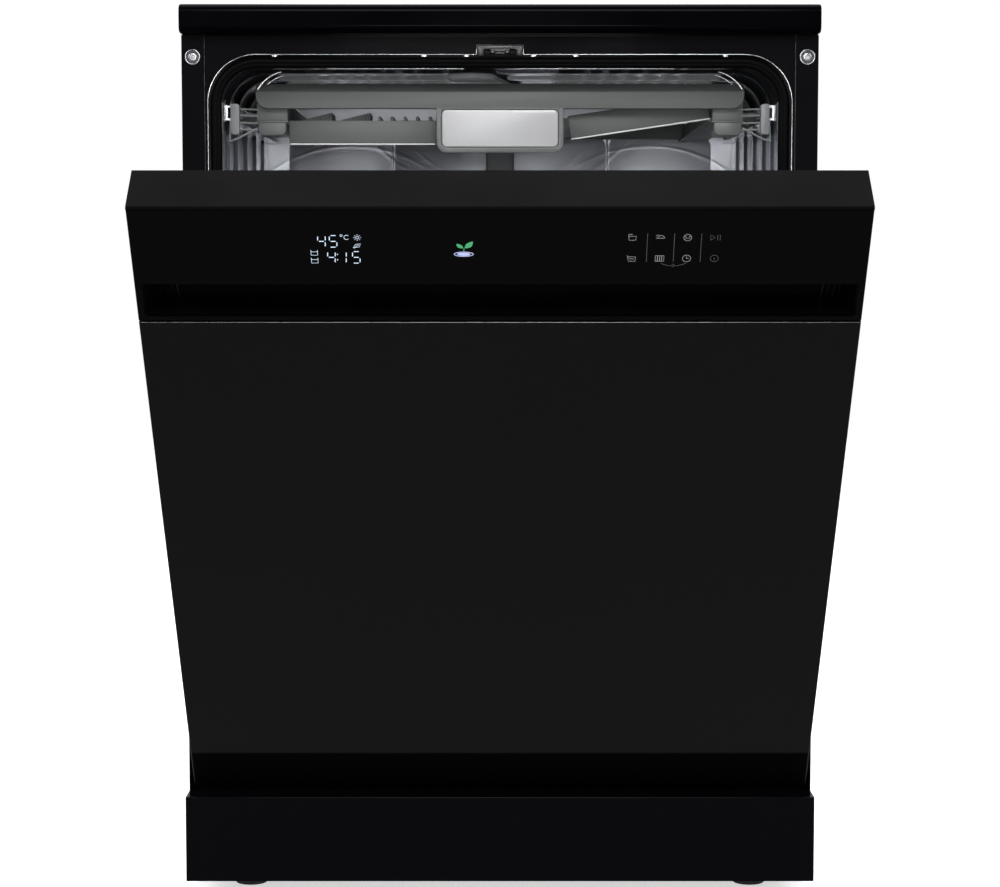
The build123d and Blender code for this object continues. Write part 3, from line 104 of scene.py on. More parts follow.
class Paint:
    # a material being mixed; every node comes from node()
    def __init__(self, name, color=(0.1, 0.1, 0.1), rough=0.5, metal=0.0, coat=0.0, spec=0.5):
        self.mat = bpy.data.materials.new(name)
        self.mat.use_nodes = True
        self.tree = self.mat.node_tree
        self.shader = self.tree.nodes["Principled BSDF"]
        self.put("Base Color", (*color, 1))
        self.put("Roughness", rough)
        self.put("Metallic", metal)
        self.put("Coat Weight", coat)
        self.put("Coat Roughness", 0.06)
        self.put("Specular IOR Level", spec)

    def put(self, name, value):
        self.feed(self.shader.inputs[name], value)
        return self

    def feed(self, socket, value):
        if isinstance(value, Sock):
            self.tree.links.new(value.out, socket)
        else:
            socket.default_value = value

    def node(self, kind, settings=None, inputs=None, out=0):
        made = self.tree.nodes.new(kind)
        for key, value in (settings or {}).items():
            if key == "stops":
                ramp = made.color_ramp.elements
                while len(ramp) < len(value):
                    ramp.new(0.5)
                for stop, (at, shade) in zip(ramp, value):
                    stop.position = at
                    stop.color = (shade, shade, shade, 1)
            else:
                setattr(made, key, value)
        for key, value in (inputs or {}).items():
            self.feed(made.inputs[key], value)
        return Sock(self, made.outputs[out])

    def place(self, stretch=(1, 1, 1), turn=(0, 0, 0), shift=(0, 0, 0)):
        where = self.node("ShaderNodeTexCoord", out="Object")
        inputs = {"Vector": where, "Scale": stretch, "Rotation": turn, "Location": shift}
        return self.node("ShaderNodeMapping", None, inputs)

    def noise(self, scale, detail=3.0, blur=0.5, stretch=(1, 1, 1), turn=(0, 0, 0)):
        inputs = {"Vector": self.place(stretch, turn), "Scale": scale, "Detail": detail, "Roughness": blur}
        return self.node("ShaderNodeTexNoise", None, inputs)

    def cells(self, scale, feature="F1", stretch=(1, 1, 1), turn=(0, 0, 0)):
        return self.node("ShaderNodeTexVoronoi", {"feature": feature},
                         {"Vector": self.place(stretch, turn), "Scale": scale})

    def axis(self, name, stretch=(1, 1, 1), turn=(0, 0, 0), shift=(0, 0, 0)):
        return self.node("ShaderNodeSeparateXYZ", None, {0: self.place(stretch, turn, shift)}, name)

    def ramp(self, value, stops):
        return self.node("ShaderNodeValToRGB", {"stops": stops}, {0: value})

    def span(self, value, low, high, toLow, toHigh):
        inputs = {0: value, 1: low, 2: high, 3: toLow, 4: toHigh}
        return self.node("ShaderNodeMapRange", {"clamp": True}, inputs)

    def blendColors(self, mask, first, second):
        inputs = {0: mask, 6: first if isinstance(first, Sock) else (*first, 1),
                  7: second if isinstance(second, Sock) else (*second, 1)}
        return self.node("ShaderNodeMix", {"data_type": "RGBA"}, inputs, 2)

    def bump(self, height, strength, depth, over=None):
        inputs = {"Strength": strength, "Distance": depth, "Height": height}
        if over:
            inputs["Normal"] = over
        return self.node("ShaderNodeBump", None, inputs)


def fingerFilm(paint, low, high, scale=9.0):
    # faint cloudy variation of gloss, as wiped surfaces have
    film = paint.noise(scale, 4.0, 0.6)
    paint.put("Roughness", paint.span(film, 0.35, 0.7, low, high))
    return film


def blackLaminate():
    paint = Paint("black_laminate", (0.0005, 0.0005, 0.0007), 0.3)
    paint.put("Specular IOR Level", 0.025)
    cloud = fingerFilm(paint, 0.1, 0.2, 5.0)
    paint.put("Base Color", paint.blendColors(cloud, (0.0003, 0.0003, 0.0006), (0.0005, 0.0005, 0.0009)))
    grain = paint.noise(900.0, 2.0)
    return paint.put("Normal", paint.bump(grain, 0.05, 0.0002)).mat


def blackEnamel():
    paint = Paint("black_enamel", (0.0018, 0.0018, 0.0024), 0.3)
    paint.put("Specular IOR Level", 0.055)
    fingerFilm(paint, 0.1, 0.18)
    peel = paint.noise(260.0, 2.0)
    return paint.put("Normal", paint.bump(peel, 0.06, 0.0003)).mat


def glossEnamel():
    paint = Paint("plinth_enamel", (0.0014, 0.0014, 0.002), 0.18)
    paint.put("Specular IOR Level", 0.05)
    fingerFilm(paint, 0.08, 0.16)
    peel = paint.noise(210.0, 2.0)
    return paint.put("Normal", paint.bump(peel, 0.04, 0.0003)).mat


def doorCoating():
    paint = Paint("door_coating", (0.001, 0.001, 0.0011), 0.08)
    paint.put("Specular IOR Level", 0.23)
    film = fingerFilm(paint, 0.06, 0.1, 4.0)
    paint.put("Base Color", paint.blendColors(film, (0.0009, 0.0009, 0.001), (0.0012, 0.0012, 0.0013)))
    peel = paint.noise(420.0, 2.0)
    return paint.put("Normal", paint.bump(peel, 0.03, 0.0002)).mat


def panelGlass():
    paint = Paint("panel_glass", (0.0006, 0.0006, 0.0007), 0.08)
    paint.put("Specular IOR Level", 0.09)
    fingerFilm(paint, 0.05, 0.12)
    return paint.mat


def satinCap():
    paint = Paint("satin_cap", (0.0013, 0.0013, 0.00135), 0.45)
    paint.put("Specular IOR Level", 0.015)
    grain = paint.noise(1500.0, 2.0)
    fingerFilm(paint, 0.4, 0.52)
    return paint.put("Normal", paint.bump(grain, 0.12, 0.0002)).mat


def pocketPlastic():
    paint = Paint("pocket_plastic", (0.0008, 0.0008, 0.0014), 0.32)
    paint.put("Specular IOR Level", 0.12)
    grain = paint.noise(1200.0, 2.0)
    fingerFilm(paint, 0.28, 0.42)
    return paint.put("Normal", paint.bump(grain, 0.08, 0.0002)).mat


def brushedSteel(name, stretch, color=(0.6, 0.61, 0.63), low=0.16, high=0.32, strength=0.12):
    paint = Paint(name, color, 0.25, 1.0)
    streak = paint.noise(1.0, 4.0, 0.6, stretch)
    cloud = paint.noise(7.0, 3.0)
    paint.put("Roughness", paint.span(streak * 0.6 + cloud * 0.4, 0.35, 0.65, low, high))
    dark = tuple(c * 0.82 for c in color)
    paint.put("Base Color", paint.blendColors(cloud, dark, color))
    wave = paint.noise(3.5, 1.0, 0.4)
    soft = paint.bump(wave, 0.12, 0.02)
    return paint.put("Normal", paint.bump(streak, strength, 0.0003, soft)).mat


def tubSteel():
    # bright pressed sheet: wide ripples, drawing marks and water spots
    paint = Paint("tub_steel", (0.66, 0.67, 0.7), 0.16, 1.0)
    marks = paint.noise(1.0, 4.0, 0.6, (90, 90, 6))
    cloud = paint.noise(6.0, 4.0, 0.6)
    spots = paint.ramp(paint.cells(95.0), [(0.0, 1.0), (0.09, 0.75), (0.13, 0.0), (1.0, 0.0)])
    paint.put("Base Color", paint.blendColors(cloud, (0.42, 0.43, 0.46), (0.74, 0.75, 0.78)))
    paint.put("Roughness", paint.span(marks * 0.5 + cloud * 0.5, 0.3, 0.7, 0.1, 0.3) + spots * 0.08)
    ripple = paint.bump(paint.noise(11.0, 2.0, 0.5, (1, 1, 0.35)), 0.35, 0.012)
    return paint.put("Normal", paint.bump(marks, 0.1, 0.0004, ripple)).mat


def polymer(name, color, rough=0.42, speck=0.85, grainSize=1400.0, strength=0.1):
    # moulded plastic: fine spark-eroded grain and faint flow marks
    paint = Paint(name, color, rough)
    flow = paint.noise(14.0, 4.0, 0.6)
    dark = tuple(c * speck for c in color)
    paint.put("Base Color", paint.blendColors(flow, dark, color))
    paint.put("Roughness", paint.span(flow, 0.3, 0.7, rough - 0.07, rough + 0.07))
    grain = paint.noise(grainSize, 2.0)
    return paint.put("Normal", paint.bump(grain, strength, 0.0002)).mat


def ringHeight(paint, x0, z0, radius, half):
    # a soft raised ring about a point of the wall, for stamped curves
    x, z = paint.axis("X"), paint.axis("Z")
    away = ((x - x0) ** 2.0 + (z - z0) ** 2.0) ** 0.5
    off = paint.node("ShaderNodeMath", {"operation": "ABSOLUTE"}, {0: away - radius})
    return paint.span(off, 0.0, half, 1.0, 0.0)


def rearSteel():
    # flatter, more diffuse pressed sheet with soft stamped curves
    paint = Paint("rear_steel", (0.6, 0.61, 0.64), 0.36, 1.0)
    cloud = paint.noise(5.0, 4.0, 0.6)
    paint.put("Base Color", paint.blendColors(cloud, (0.5, 0.51, 0.55), (0.8, 0.81, 0.85)))
    paint.put("Roughness", paint.span(cloud, 0.3, 0.7, 0.3, 0.44))
    rings = ringHeight(paint, -0.17, 0.58, 0.16, 0.003) + ringHeight(paint, -0.02, 0.86, 0.17, 0.003)
    rings = rings + ringHeight(paint, 0.17, 0.58, 0.16, 0.003) + ringHeight(paint, 0.02, 0.86, 0.17, 0.003)
    wave = paint.bump(paint.noise(9.0, 2.0), 0.3, 0.01)
    return paint.put("Normal", paint.bump(rings, 0.16, 0.001, wave)).mat


def sealRubber():
    paint = Paint("seal_rubber", (0.001, 0.001, 0.0012), 0.55)
    paint.put("Specular IOR Level", 0.04)
    bloom = paint.noise(40.0, 5.0, 0.7)
    paint.put("Base Color", paint.blendColors(bloom, (0.0005, 0.0005, 0.0006), (0.0011, 0.0011, 0.0013)))
    paint.put("Roughness", paint.span(bloom, 0.3, 0.7, 0.42, 0.7))
    return paint.put("Normal", paint.bump(paint.noise(700.0), 0.15, 0.0003)).mat


def galvanised():
    # zinc-coated sheet with its spangle
    paint = Paint("galvanised_sheet", (0.5, 0.51, 0.52), 0.4, 1.0)
    spangle = paint.node("ShaderNodeTexVoronoi", None, {"Vector": paint.place(), "Scale": 170.0}, "Color")
    tone = paint.node("ShaderNodeSeparateXYZ", None, {0: spangle}, "X")
    paint.put("Base Color", paint.blendColors(tone, (0.45, 0.46, 0.47), (0.52, 0.53, 0.54)))
    paint.put("Roughness", paint.span(tone, 0.0, 1.0, 0.36, 0.44))
    return paint.put("Normal", paint.bump(tone, 0.03, 0.0004)).mat


def silverLacquer():
    paint = Paint("silver_lacquer", (0.3, 0.3, 0.31), 0.4, 0.5)
    flake = paint.cells(1800.0)
    paint.put("Base Color", paint.blendColors(flake, (0.27, 0.27, 0.275), (0.34, 0.34, 0.345)))
    paint.put("Roughness", paint.span(flake, 0.0, 1.0, 0.3, 0.44))
    return paint.put("Normal", paint.bump(flake, 0.05, 0.0001)).mat


def brightZinc():
    paint = Paint("bright_zinc", (0.42, 0.43, 0.44), 0.26, 1.0)
    wear = paint.noise(300.0, 4.0)
    paint.put("Roughness", paint.span(wear, 0.3, 0.7, 0.14, 0.34))
    return paint.put("Normal", paint.bump(wear, 0.08, 0.0002)).mat


def filterMesh():
    # fine perforated steel, as round holes in a triangular grid
    paint = Paint("filter_mesh", (0.55, 0.56, 0.57), 0.3, 1.0)
    cell = paint.cells(420.0)
    holes = paint.ramp(cell, [(0.0, 0.0), (0.22, 0.0), (0.3, 1.0), (1.0, 1.0)])
    paint.put("Base Color", paint.blendColors(holes, (0.02, 0.02, 0.022), (0.56, 0.57, 0.58)))
    paint.put("Metallic", paint.span(holes, 0.0, 1.0, 0.2, 1.0))
    return paint.put("Normal", paint.bump(holes, 0.5, 0.0006)).mat


def coatedWire():
    paint = Paint("coated_wire", (0.15, 0.155, 0.155), 0.34)
    coat = paint.noise(60.0, 4.0, 0.6)
    paint.put("Base Color", paint.blendColors(coat, (0.12, 0.125, 0.125), (0.18, 0.185, 0.185)))
    paint.put("Roughness", paint.span(coat, 0.3, 0.7, 0.28, 0.42))
    return paint.put("Normal", paint.bump(paint.noise(500.0), 0.06, 0.0003)).mat


def circuitBoard():
    paint = Paint("circuit_board", (0.01, 0.07, 0.04), 0.35)
    inputs = {"Vector": paint.place((1, 1, 1), (1.57, 0, 0)), "Scale": 90.0, "Mortar": (0.12, 0.1, 0.03, 1),
              "Color1": (0.01, 0.06, 0.035, 1), "Color2": (0.014, 0.085, 0.05, 1)}
    tracks = paint.node("ShaderNodeTexBrick", None, inputs)
    return paint.put("Base Color", tracks).mat


def lamp(name, color, strength):
    # a lit mark behind the glass
    paint = Paint(name, tuple(c * 0.3 for c in color), 0.4)
    glow = paint.noise(2500.0, 1.0)
    paint.put("Emission Color", paint.blendColors(glow, tuple(c * 0.85 for c in color), color))
    paint.shader.inputs["Emission Strength"].default_value = strength
    return paint.mat


paints = {
    "laminate": blackLaminate(),
    "enamel": blackEnamel(),
    "plinth": glossEnamel(),
    "door": doorCoating(),
    "glass": panelGlass(),
    "cap": satinCap(),
    "pocket": pocketPlastic(),
    "tub": tubSteel(),
    "liner": brushedSteel("liner_steel", (7, 500, 500)),
    "rail": brushedSteel("rail_steel", (500, 9, 500)),
    "bracket": brushedSteel("bracket_steel", (300, 12, 300), (0.42, 0.42, 0.43), 0.3, 0.5),
    "rubber": sealRubber(),
    "back": galvanised(),
    "silver": silverLacquer(),
    "zinc": brightZinc(),
    "mesh": filterMesh(),
    "wire": coatedWire(),
    "board": circuitBoard(),
    "tray": polymer("tray_polymer", (0.088, 0.094, 0.09), 0.44),
    "insert": polymer("insert_polymer", (0.066, 0.072, 0.069), 0.46),
    "arm": polymer("spray_arm_polymer", (0.17, 0.18, 0.18), 0.4),
    "wheel": polymer("wheel_polymer", (0.13, 0.138, 0.135), 0.38),
    "base": polymer("base_polymer", (0.012, 0.012, 0.013), 0.5),
    "foot": polymer("foot_polymer", (0.01, 0.01, 0.011), 0.5),
    "latch": polymer("latch_polymer", (0.0022, 0.0022, 0.0026), 0.3),
    # brighter satin metal for thin lines on black parts, used as painted highlights
    "edge": brushedSteel("edge_highlight_steel", (60, 60, 60), (0.2, 0.19, 0.2), 0.2, 0.34, 0.04),
    "machine": polymer("machine_polymer", (0.42, 0.43, 0.42), 0.45),
    "pump": polymer("pump_polymer", (0.05, 0.052, 0.055), 0.45),
    "dispenser": polymer("dispenser_polymer", (0.2, 0.21, 0.22), 0.3),
    "rinse": polymer("rinse_cap_polymer", (0.07, 0.13, 0.24), 0.3),
    "salt": polymer("salt_cap_polymer", (0.3, 0.31, 0.32), 0.35),
    "digit": lamp("display_light", (0.62, 0.74, 0.88), 0.8),
    "leaf": lamp("leaf_light", (0.045, 0.34, 0.13), 0.8),
    "water": lamp("water_light", (0.42, 0.46, 0.74), 0.85),
    "print": lamp("icon_print", (0.3, 0.31, 0.32), 0.28),
    "faint": lamp("faint_print", (0.1, 0.1, 0.105), 0.25),
    "lip": brushedSteel("lip_steel", (60, 60, 60), (0.85, 0.85, 0.86), 0.12, 0.25, 0.04),
    "rear": rearSteel(),
    # light grey plastic for the painted highlight lines along the insert skirts
    "bead": polymer("highlight_line_polymer", (0.62, 0.63, 0.62), 0.3),
    "cup": polymer("cup_polymer", (0.02, 0.02, 0.022), 0.4),
}
print("finishes mixed:", len(paints))

cadPaint = {
    "laminate": ["worktop"],
    "enamel": ["side_panel_left", "side_panel_right", "front_frame"],
    "plinth": ["kick_plate"],
    "door": ["door_outer_panel"],
    "glass": ["control_fascia"],
    "cap": ["door_top_cap"],
    "pocket": ["handle_pocket"],
    "tub": ["tub_wrapper", "tub_back", "tub_floor"],
    "liner": ["door_inner_liner"],
    "rail": ["tray_rails", "upper_rails"],
    "bracket": ["hinge_brackets", "hinge_arms", "door_springs"],
    "rubber": ["tub_seal", "door_bottom_seal"],
    "back": ["back_panel"],
    "silver": ["tray_handle_plate"],
    "zinc": ["flange_screws", "hinge_pins"],
    "mesh": ["filter_plate"],
    "wire": ["upper_basket", "lower_basket", "cup_shelf", "plate_tines"],
    "board": ["control_board", "display_module"],
    "tray": ["cutlery_tray"],
    "insert": ["tray_insert_left", "tray_insert_right"],
    "arm": ["feed_duct", "top_spray_arm", "middle_spray_arm", "lower_spray_arm", "sump", "filter_cup"],
    "wheel": ["wheels_front", "wheels_rear"],
    "base": ["base_tray"],
    "foot": ["foot_front_left", "foot_front_right", "foot_rear_left", "foot_rear_right"],
    "latch": ["latch_strike", "latch_housing", "latch_pawl"],
    "machine": ["salt_reservoir", "inlet_valve", "mains_terminal", "air_breaker"],
    "pump": ["circulation_pump", "drain_pump"],
    "dispenser": ["dispenser_body", "dispenser_lid"],
    "rinse": ["rinse_aid_cap"],
    "salt": ["salt_cap"],
}


def setPaint(obj, key):
    obj.data.materials.clear()
    obj.data.materials.append(paints[key])


for key, names in cadPaint.items():
    for name in names:
        setPaint(cad[name], key)


def deselect():
    bpy.ops.object.select_all(action="DESELECT")


def choose(obj):
    deselect()
    obj.select_set(True)
    bpy.context.view_layer.objects.active = obj


def settle(obj):
    choose(obj)
    bpy.ops.object.transform_apply(location=True, rotation=True, scale=True)
    return obj


def addBlock(name, low, high):
    low, high = Vector(low), Vector(high)
    deselect()
    bpy.ops.mesh.primitive_cube_add(size=1, location=(low + high) / 2, scale=high - low)
    obj = bpy.context.object
    obj.name = name
    return settle(obj)


def addRod(name, start, end, radius, sides=24, tip=None):
    start, end = Vector(start), Vector(end)
    deselect()
    turn = (end - start).to_track_quat("Z", "Y").to_euler()
    bpy.ops.mesh.primitive_cone_add(vertices=sides, radius1=radius, radius2=radius if tip is None else tip,
                                    depth=(end - start).length, location=(start + end) / 2, rotation=turn)
    obj = bpy.context.object
    obj.name = name
    return settle(obj)


def addRing(name, center, axis, radius, thick, sides=32, round=10):
    deselect()
    turn = Vector(axis).to_track_quat("Z", "Y").to_euler()
    bpy.ops.mesh.primitive_torus_add(major_radius=radius, minor_radius=thick, major_segments=sides,
                                     minor_segments=round, location=center, rotation=turn)
    obj = bpy.context.object
    obj.name = name
    return settle(obj)


def addModifier(obj, kind, **settings):
    choose(obj)
    modifier = obj.modifiers.new(kind.lower(), kind)
    for key, value in settings.items():
        setattr(modifier, key, value)
    bpy.ops.object.modifier_apply(modifier=modifier.name)
    return obj


def soften(obj, width, segments=2, angle=35):
    return addModifier(obj, "BEVEL", width=width, segments=segments, limit_method="ANGLE",
                       angle_limit=math.radians(angle), harden_normals=False)


def smooth(obj, angle=35):
    choose(obj)
    bpy.ops.object.shade_smooth_by_angle(angle=math.radians(angle))
    return obj


def join(name, pieces):
    deselect()
    for piece in pieces:
        piece.select_set(True)
    bpy.context.view_layer.objects.active = pieces[0]
    if len(pieces) > 1:
        bpy.ops.object.join()
    obj = bpy.context.object
    obj.name = name
    obj.data.name = name
    return obj


def copyOf(obj, move=(0, 0, 0), flip=False):
    twin = obj.copy()
    twin.data = obj.data.copy()
    bpy.context.collection.objects.link(twin)
    shift = Matrix.Translation(Vector(move))
    if flip:
        shift = Matrix.Scale(-1, 4, (1, 0, 0)) @ shift
    twin.data.transform(shift)
    if flip:
        twin.data.flip_normals()
    return twin


def cut(obj, tool):
    addModifier(obj, "BOOLEAN", operation="DIFFERENCE", solver="EXACT", object=tool)
    bpy.data.objects.remove(tool)
    return obj


def editFaces(obj, test, *steps):
    # selects the faces that pass the test and runs edit operators on them
    choose(obj)
    bpy.ops.object.mode_set(mode="EDIT")
    bpy.ops.mesh.select_mode(type="FACE")
    bpy.ops.mesh.select_all(action="DESELECT")
    bpy.ops.object.mode_set(mode="OBJECT")
    for face in obj.data.polygons:
        face.select = test(face)
    bpy.ops.object.mode_set(mode="EDIT")
    for operator, settings in steps:
        operator(**settings)
    bpy.ops.object.mode_set(mode="OBJECT")
    return obj


def bevelEdges(obj, test, width, segments):
    choose(obj)
    bpy.ops.object.mode_set(mode="EDIT")
    bpy.ops.mesh.select_mode(type="EDGE")
    bpy.ops.mesh.select_all(action="DESELECT")
    bpy.ops.object.mode_set(mode="OBJECT")
    points = obj.data.vertices
    for edge in obj.data.edges:
        a, b = (points[i].co for i in edge.vertices)
        edge.select = test(a, b)
    bpy.ops.object.mode_set(mode="EDIT")
    bpy.ops.mesh.bevel(offset=width, segments=segments, affect="EDGES")
    bpy.ops.object.mode_set(mode="OBJECT")
    return obj


def alongY(a, b):
    return abs(a.x - b.x) < 1e-5 and abs(a.z - b.z) < 1e-5


def alongZ(a, b):
    return abs(a.x - b.x) < 1e-5 and abs(a.y - b.y) < 1e-5


def alongX(a, b):
    return abs(a.y - b.y) < 1e-5 and abs(a.z - b.z) < 1e-5


def roundPath(points, radius, steps=4, closed=False):
    # rounds the corners of a path with short arcs
    points = [Vector(p) for p in points]
    out = []
    last = len(points) - 1
    for i, here in enumerate(points):
        if not closed and i in (0, last):
            out.append(here)
            continue
        before, after = points[i - 1], points[(i + 1) % len(points)]
        back, on = before - here, after - here
        reach = min(radius, back.length * 0.49, on.length * 0.49)
        start, end = here + back.normalized() * reach, here + on.normalized() * reach
        for k in range(steps + 1):
            t = k / steps
            out.append(start * (1 - t) ** 2 + here * 2 * t * (1 - t) + end * t ** 2)
    return out


def drawWires(name, paths, radius, sides=2, corner=0.0, closed=False):
    # bent wires of round section, one tube along each path
    curve = bpy.data.curves.new(name, "CURVE")
    curve.dimensions = "3D"
    curve.bevel_depth = radius
    curve.bevel_resolution = sides
    curve.use_fill_caps = True
    for path in paths:
        points = roundPath(path, corner, closed=closed) if corner else [Vector(p) for p in path]
        spline = curve.splines.new("POLY")
        spline.points.add(len(points) - 1)
        for point, at in zip(spline.points, points):
            point.co = (*at, 1)
        spline.use_cyclic_u = closed
    obj = bpy.data.objects.new(name, curve)
    bpy.context.collection.objects.link(obj)
    choose(obj)
    bpy.ops.object.convert(target="MESH")
    return smooth(bpy.context.object, 60)


def spread(low, high, count):
    return [low + (high - low) * i / (count - 1) for i in range(count)]


def boxMm(name, x0, x1, y0, y1, z0, z1):
    return addBlock(name, (x0 * mm, y0 * mm, z0 * mm), (x1 * mm, y1 * mm, z1 * mm))


def mirrorPair(obj):
    return [obj, copyOf(obj, flip=True)]


def toMetres(point):
    return tuple(c * mm for c in point)


def rodMm(name, start, end, radius, sides=24, tip=None):
    return addRod(name, toMetres(start), toMetres(end), radius * mm, sides, tip and tip * mm)


def wiresMm(name, paths, radius, sides=1, corner=0.0, closed=False):
    paths = [[toMetres(p) for p in path] for path in paths]
    return drawWires(name, paths, radius * mm, sides, corner * mm, closed)


def swingOpen(obj):
    # a door piece is modelled with the door shut, then turned about the hinge
    return turnAbout(obj, hingeAt, openAngle, "X")


def turnAbout(obj, pivot, angle, axis):
    back = Matrix.Translation(-pivot)
    obj.data.transform(Matrix.Translation(pivot) @ Matrix.Rotation(angle, 4, axis) @ back)
    return obj


def place(obj, paint, body, slot, *nodes):
    setPaint(obj, paint)
    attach(obj, body)
    if nodes:
        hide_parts(*nodes)
    return obj


def tubWall():
    # roof and two sides as one sheet, open in front, behind and below, with raised rings round it
    tub = {"half": 264, "top": 790, "low": 186, "front": 12, "back": 520, "corner": 38,
           "sheet": 1 * mm, "bead": 3 * mm, "beadAt": (70, 150, 245, 345, 440), "beadWide": 22}
    wall = boxMm("tub_wall", -tub["half"], tub["half"], tub["front"], tub["back"], tub["low"], tub["top"])
    bevelEdges(wall, lambda a, b: alongY(a, b) and a.z > 0.7, tub["corner"] * mm, 10)
    editFaces(wall, lambda f: abs(f.normal.y) > 0.9 or f.normal.z < -0.9,
              (bpy.ops.mesh.delete, {"type": "FACE"}))
    for middle in tub["beadAt"]:
        for off in (-1, -0.5, 0.5, 1):
            at = (middle + off * tub["beadWide"] / 2) * mm
            editFaces(wall, lambda f: True,
                      (bpy.ops.mesh.bisect, {"plane_co": (0, at, 0), "plane_no": (0, 1, 0)}))
    beads = [(m - tub["beadWide"] / 4, m + tub["beadWide"] / 4) for m in tub["beadAt"]]
    editFaces(wall, lambda f: any(lo * mm < f.center.y < hi * mm for lo, hi in beads),
              (bpy.ops.transform.shrink_fatten, {"value": -tub["bead"], "use_even_offset": True}))
    addModifier(wall, "SOLIDIFY", thickness=tub["sheet"], offset=1)
    soften(wall, 2.5 * mm, 2, 12)
    return wall


def tubMouth():
    # black channel round the mouth that holds the seal
    mouth = {"outer": 274.5, "top": 799.8, "corner": 45, "inner": 264, "innerTop": 790, "innerCorner": 38,
             "front": 1.0, "step": 12.0, "low": 186}
    outer = archPath(mouth["outer"], mouth["top"], mouth["corner"], mouth["low"])
    inner = archPath(mouth["inner"], mouth["innerTop"], mouth["innerCorner"], mouth["low"])
    strips = [stripBetween("channel_wall", outer, mouth["front"], outer, mouth["step"]),
              stripBetween("channel_step", outer, mouth["step"], inner, mouth["step"])]
    rim = join("tub_mouth", strips)
    addModifier(rim, "SOLIDIFY", thickness=0.8 * mm, offset=-1)
    return rim


def archPath(half, top, corner, low, count=12):
    # arch seen from the front, from lower left over the top to lower right, in millimetres
    points = [(-half, low)]
    for i in range(count + 1):
        angle = math.pi - i / count * math.pi / 2
        points.append((-half + corner + corner * math.cos(angle), top - corner + corner * math.sin(angle)))
    points += [(-x, z) for x, z in reversed(points)]
    return points


def stripBetween(name, first, y0, second, y1):
    # sheet between two outlines at two depths: a drawn line is extruded, then its copy is set in place
    obj = wiresMm(name, [[(x, y0, z) for x, z in first]], 0)
    choose(obj)
    bpy.ops.object.mode_set(mode="EDIT")
    bpy.ops.mesh.select_all(action="SELECT")
    bpy.ops.mesh.extrude_edges_move(TRANSFORM_OT_translate={"value": (0, (y1 - y0) * mm, 0)})
    bpy.ops.object.mode_set(mode="OBJECT")
    if first is not second:
        for i, (x, z) in enumerate(second):
            obj.data.vertices[len(first) + i].co = (x * mm, y1 * mm, z * mm)
    return obj


def mouthEdge():
    # bright folded edge round the opening, stepping up round the latch keeper, with its small dimples
    edge = {"half": 274.6, "top": 799.9, "corner": 45, "low": 238, "keeper": 22.0, "keeperTop": 808.6,
            "wire": 0.38, "y": 0.75, "dimples": (31.4, 71.0, 211.5), "drop": 1.5}
    arch = archPath(edge["half"], edge["top"], edge["corner"], edge["low"], 16)
    middle = len(arch) // 2
    step = [(-edge["keeper"], edge["top"]), (-edge["keeper"], edge["keeperTop"]),
            (edge["keeper"], edge["keeperTop"]), (edge["keeper"], edge["top"])]
    line = arch[:middle] + step + arch[middle:]
    pieces = [wiresMm("mouth_line", [[(x, edge["y"], z) for x, z in line]], edge["wire"], 2)]
    for x in edge["dimples"]:
        for side in (-1, 1):
            at = Vector((side * x, edge["y"] - 0.1, edge["top"] - edge["drop"])) * mm
            deselect()
            bpy.ops.mesh.primitive_uv_sphere_add(segments=14, ring_count=8, radius=1, location=at,
                                                 scale=(2.6 * mm, 0.6 * mm, 1.1 * mm))
            pieces.append(settle(bpy.context.object))
    return smooth(join("mouth_edge", pieces), 60)


def sealRing():
    # soft profile lying in the channel: two rounded lips with a groove between them
    seal = {"half": 272.4, "top": 797.8, "corner": 43.6, "low": 201, "y": 5.6}
    lips = []
    for shrink, y, thick in ((0.4, seal["y"], 3.7), (3.4, seal["y"] + 0.7, 3.5)):
        inset = thick + shrink
        arch = archPath(seal["half"] - inset, seal["top"] - inset, seal["corner"] - inset, seal["low"], 14)
        lips.append(wiresMm("seal_lip", [[(x, y, z) for x, z in arch]], thick, 4))
    ring = join("seal_ring", lips)
    return cut(ring, boxMm("keeper_gap", -22.4, 22.4, -1, 17, 797.4, 802))


def backWall():
    # rear wall: flat sheet with three raised fields and a narrow rib in each gap between them
    wall = {"half": 265, "top": 791, "low": 186, "y": 520, "sheet": 1, "corner": 38, "ribs": (-122, 122),
            "ribHalf": 0.9, "ribRise": 1.4, "fieldRise": 1.1, "fieldCorner": 14}
    y = wall["y"]
    sheet = boxMm("rear_wall", -wall["half"], wall["half"], y, y + wall["sheet"], wall["low"], wall["top"])
    bevelEdges(sheet, lambda a, b: alongY(a, b) and a.z > 0.7, wall["corner"] * mm, 8)
    pieces = [sheet]
    for x in wall["ribs"]:
        rib = boxMm("rib", x - wall["ribHalf"], x + wall["ribHalf"], y - wall["ribRise"], y, 240, 770)
        pieces.append(soften(rib, 1.6 * mm, 3))
    for x0, x1 in ((-240, -123.4), (-120.6, 120.6), (123.4, 240)):
        panel = boxMm("panel", x0, x1, y - wall["fieldRise"], y, 260, 752)
        bevelEdges(panel, alongY, wall["fieldCorner"] * mm, 5)
        pieces.append(soften(panel, 0.9 * mm, 2, 50))
    return smooth(join("rear_wall", pieces), 40)


place(smooth(tubWall(), 50), "tub", "cabinet", "tub_steel", "tub_wrapper")
place(smooth(tubMouth(), 50), "enamel", "cabinet", "cabinet_black")
place(mouthEdge(), "lip", "cabinet", "tub_steel")
place(sealRing(), "rubber", "cabinet", "seal_rubber", "tub_seal")
place(backWall(), "rear", "cabinet", "tub_steel", "tub_back")
print("tub modelled")


insertTilt = {"angle": math.radians(8.4), "x": 66, "z": 745.5, "rise": 4.5}  # how the right insert stands


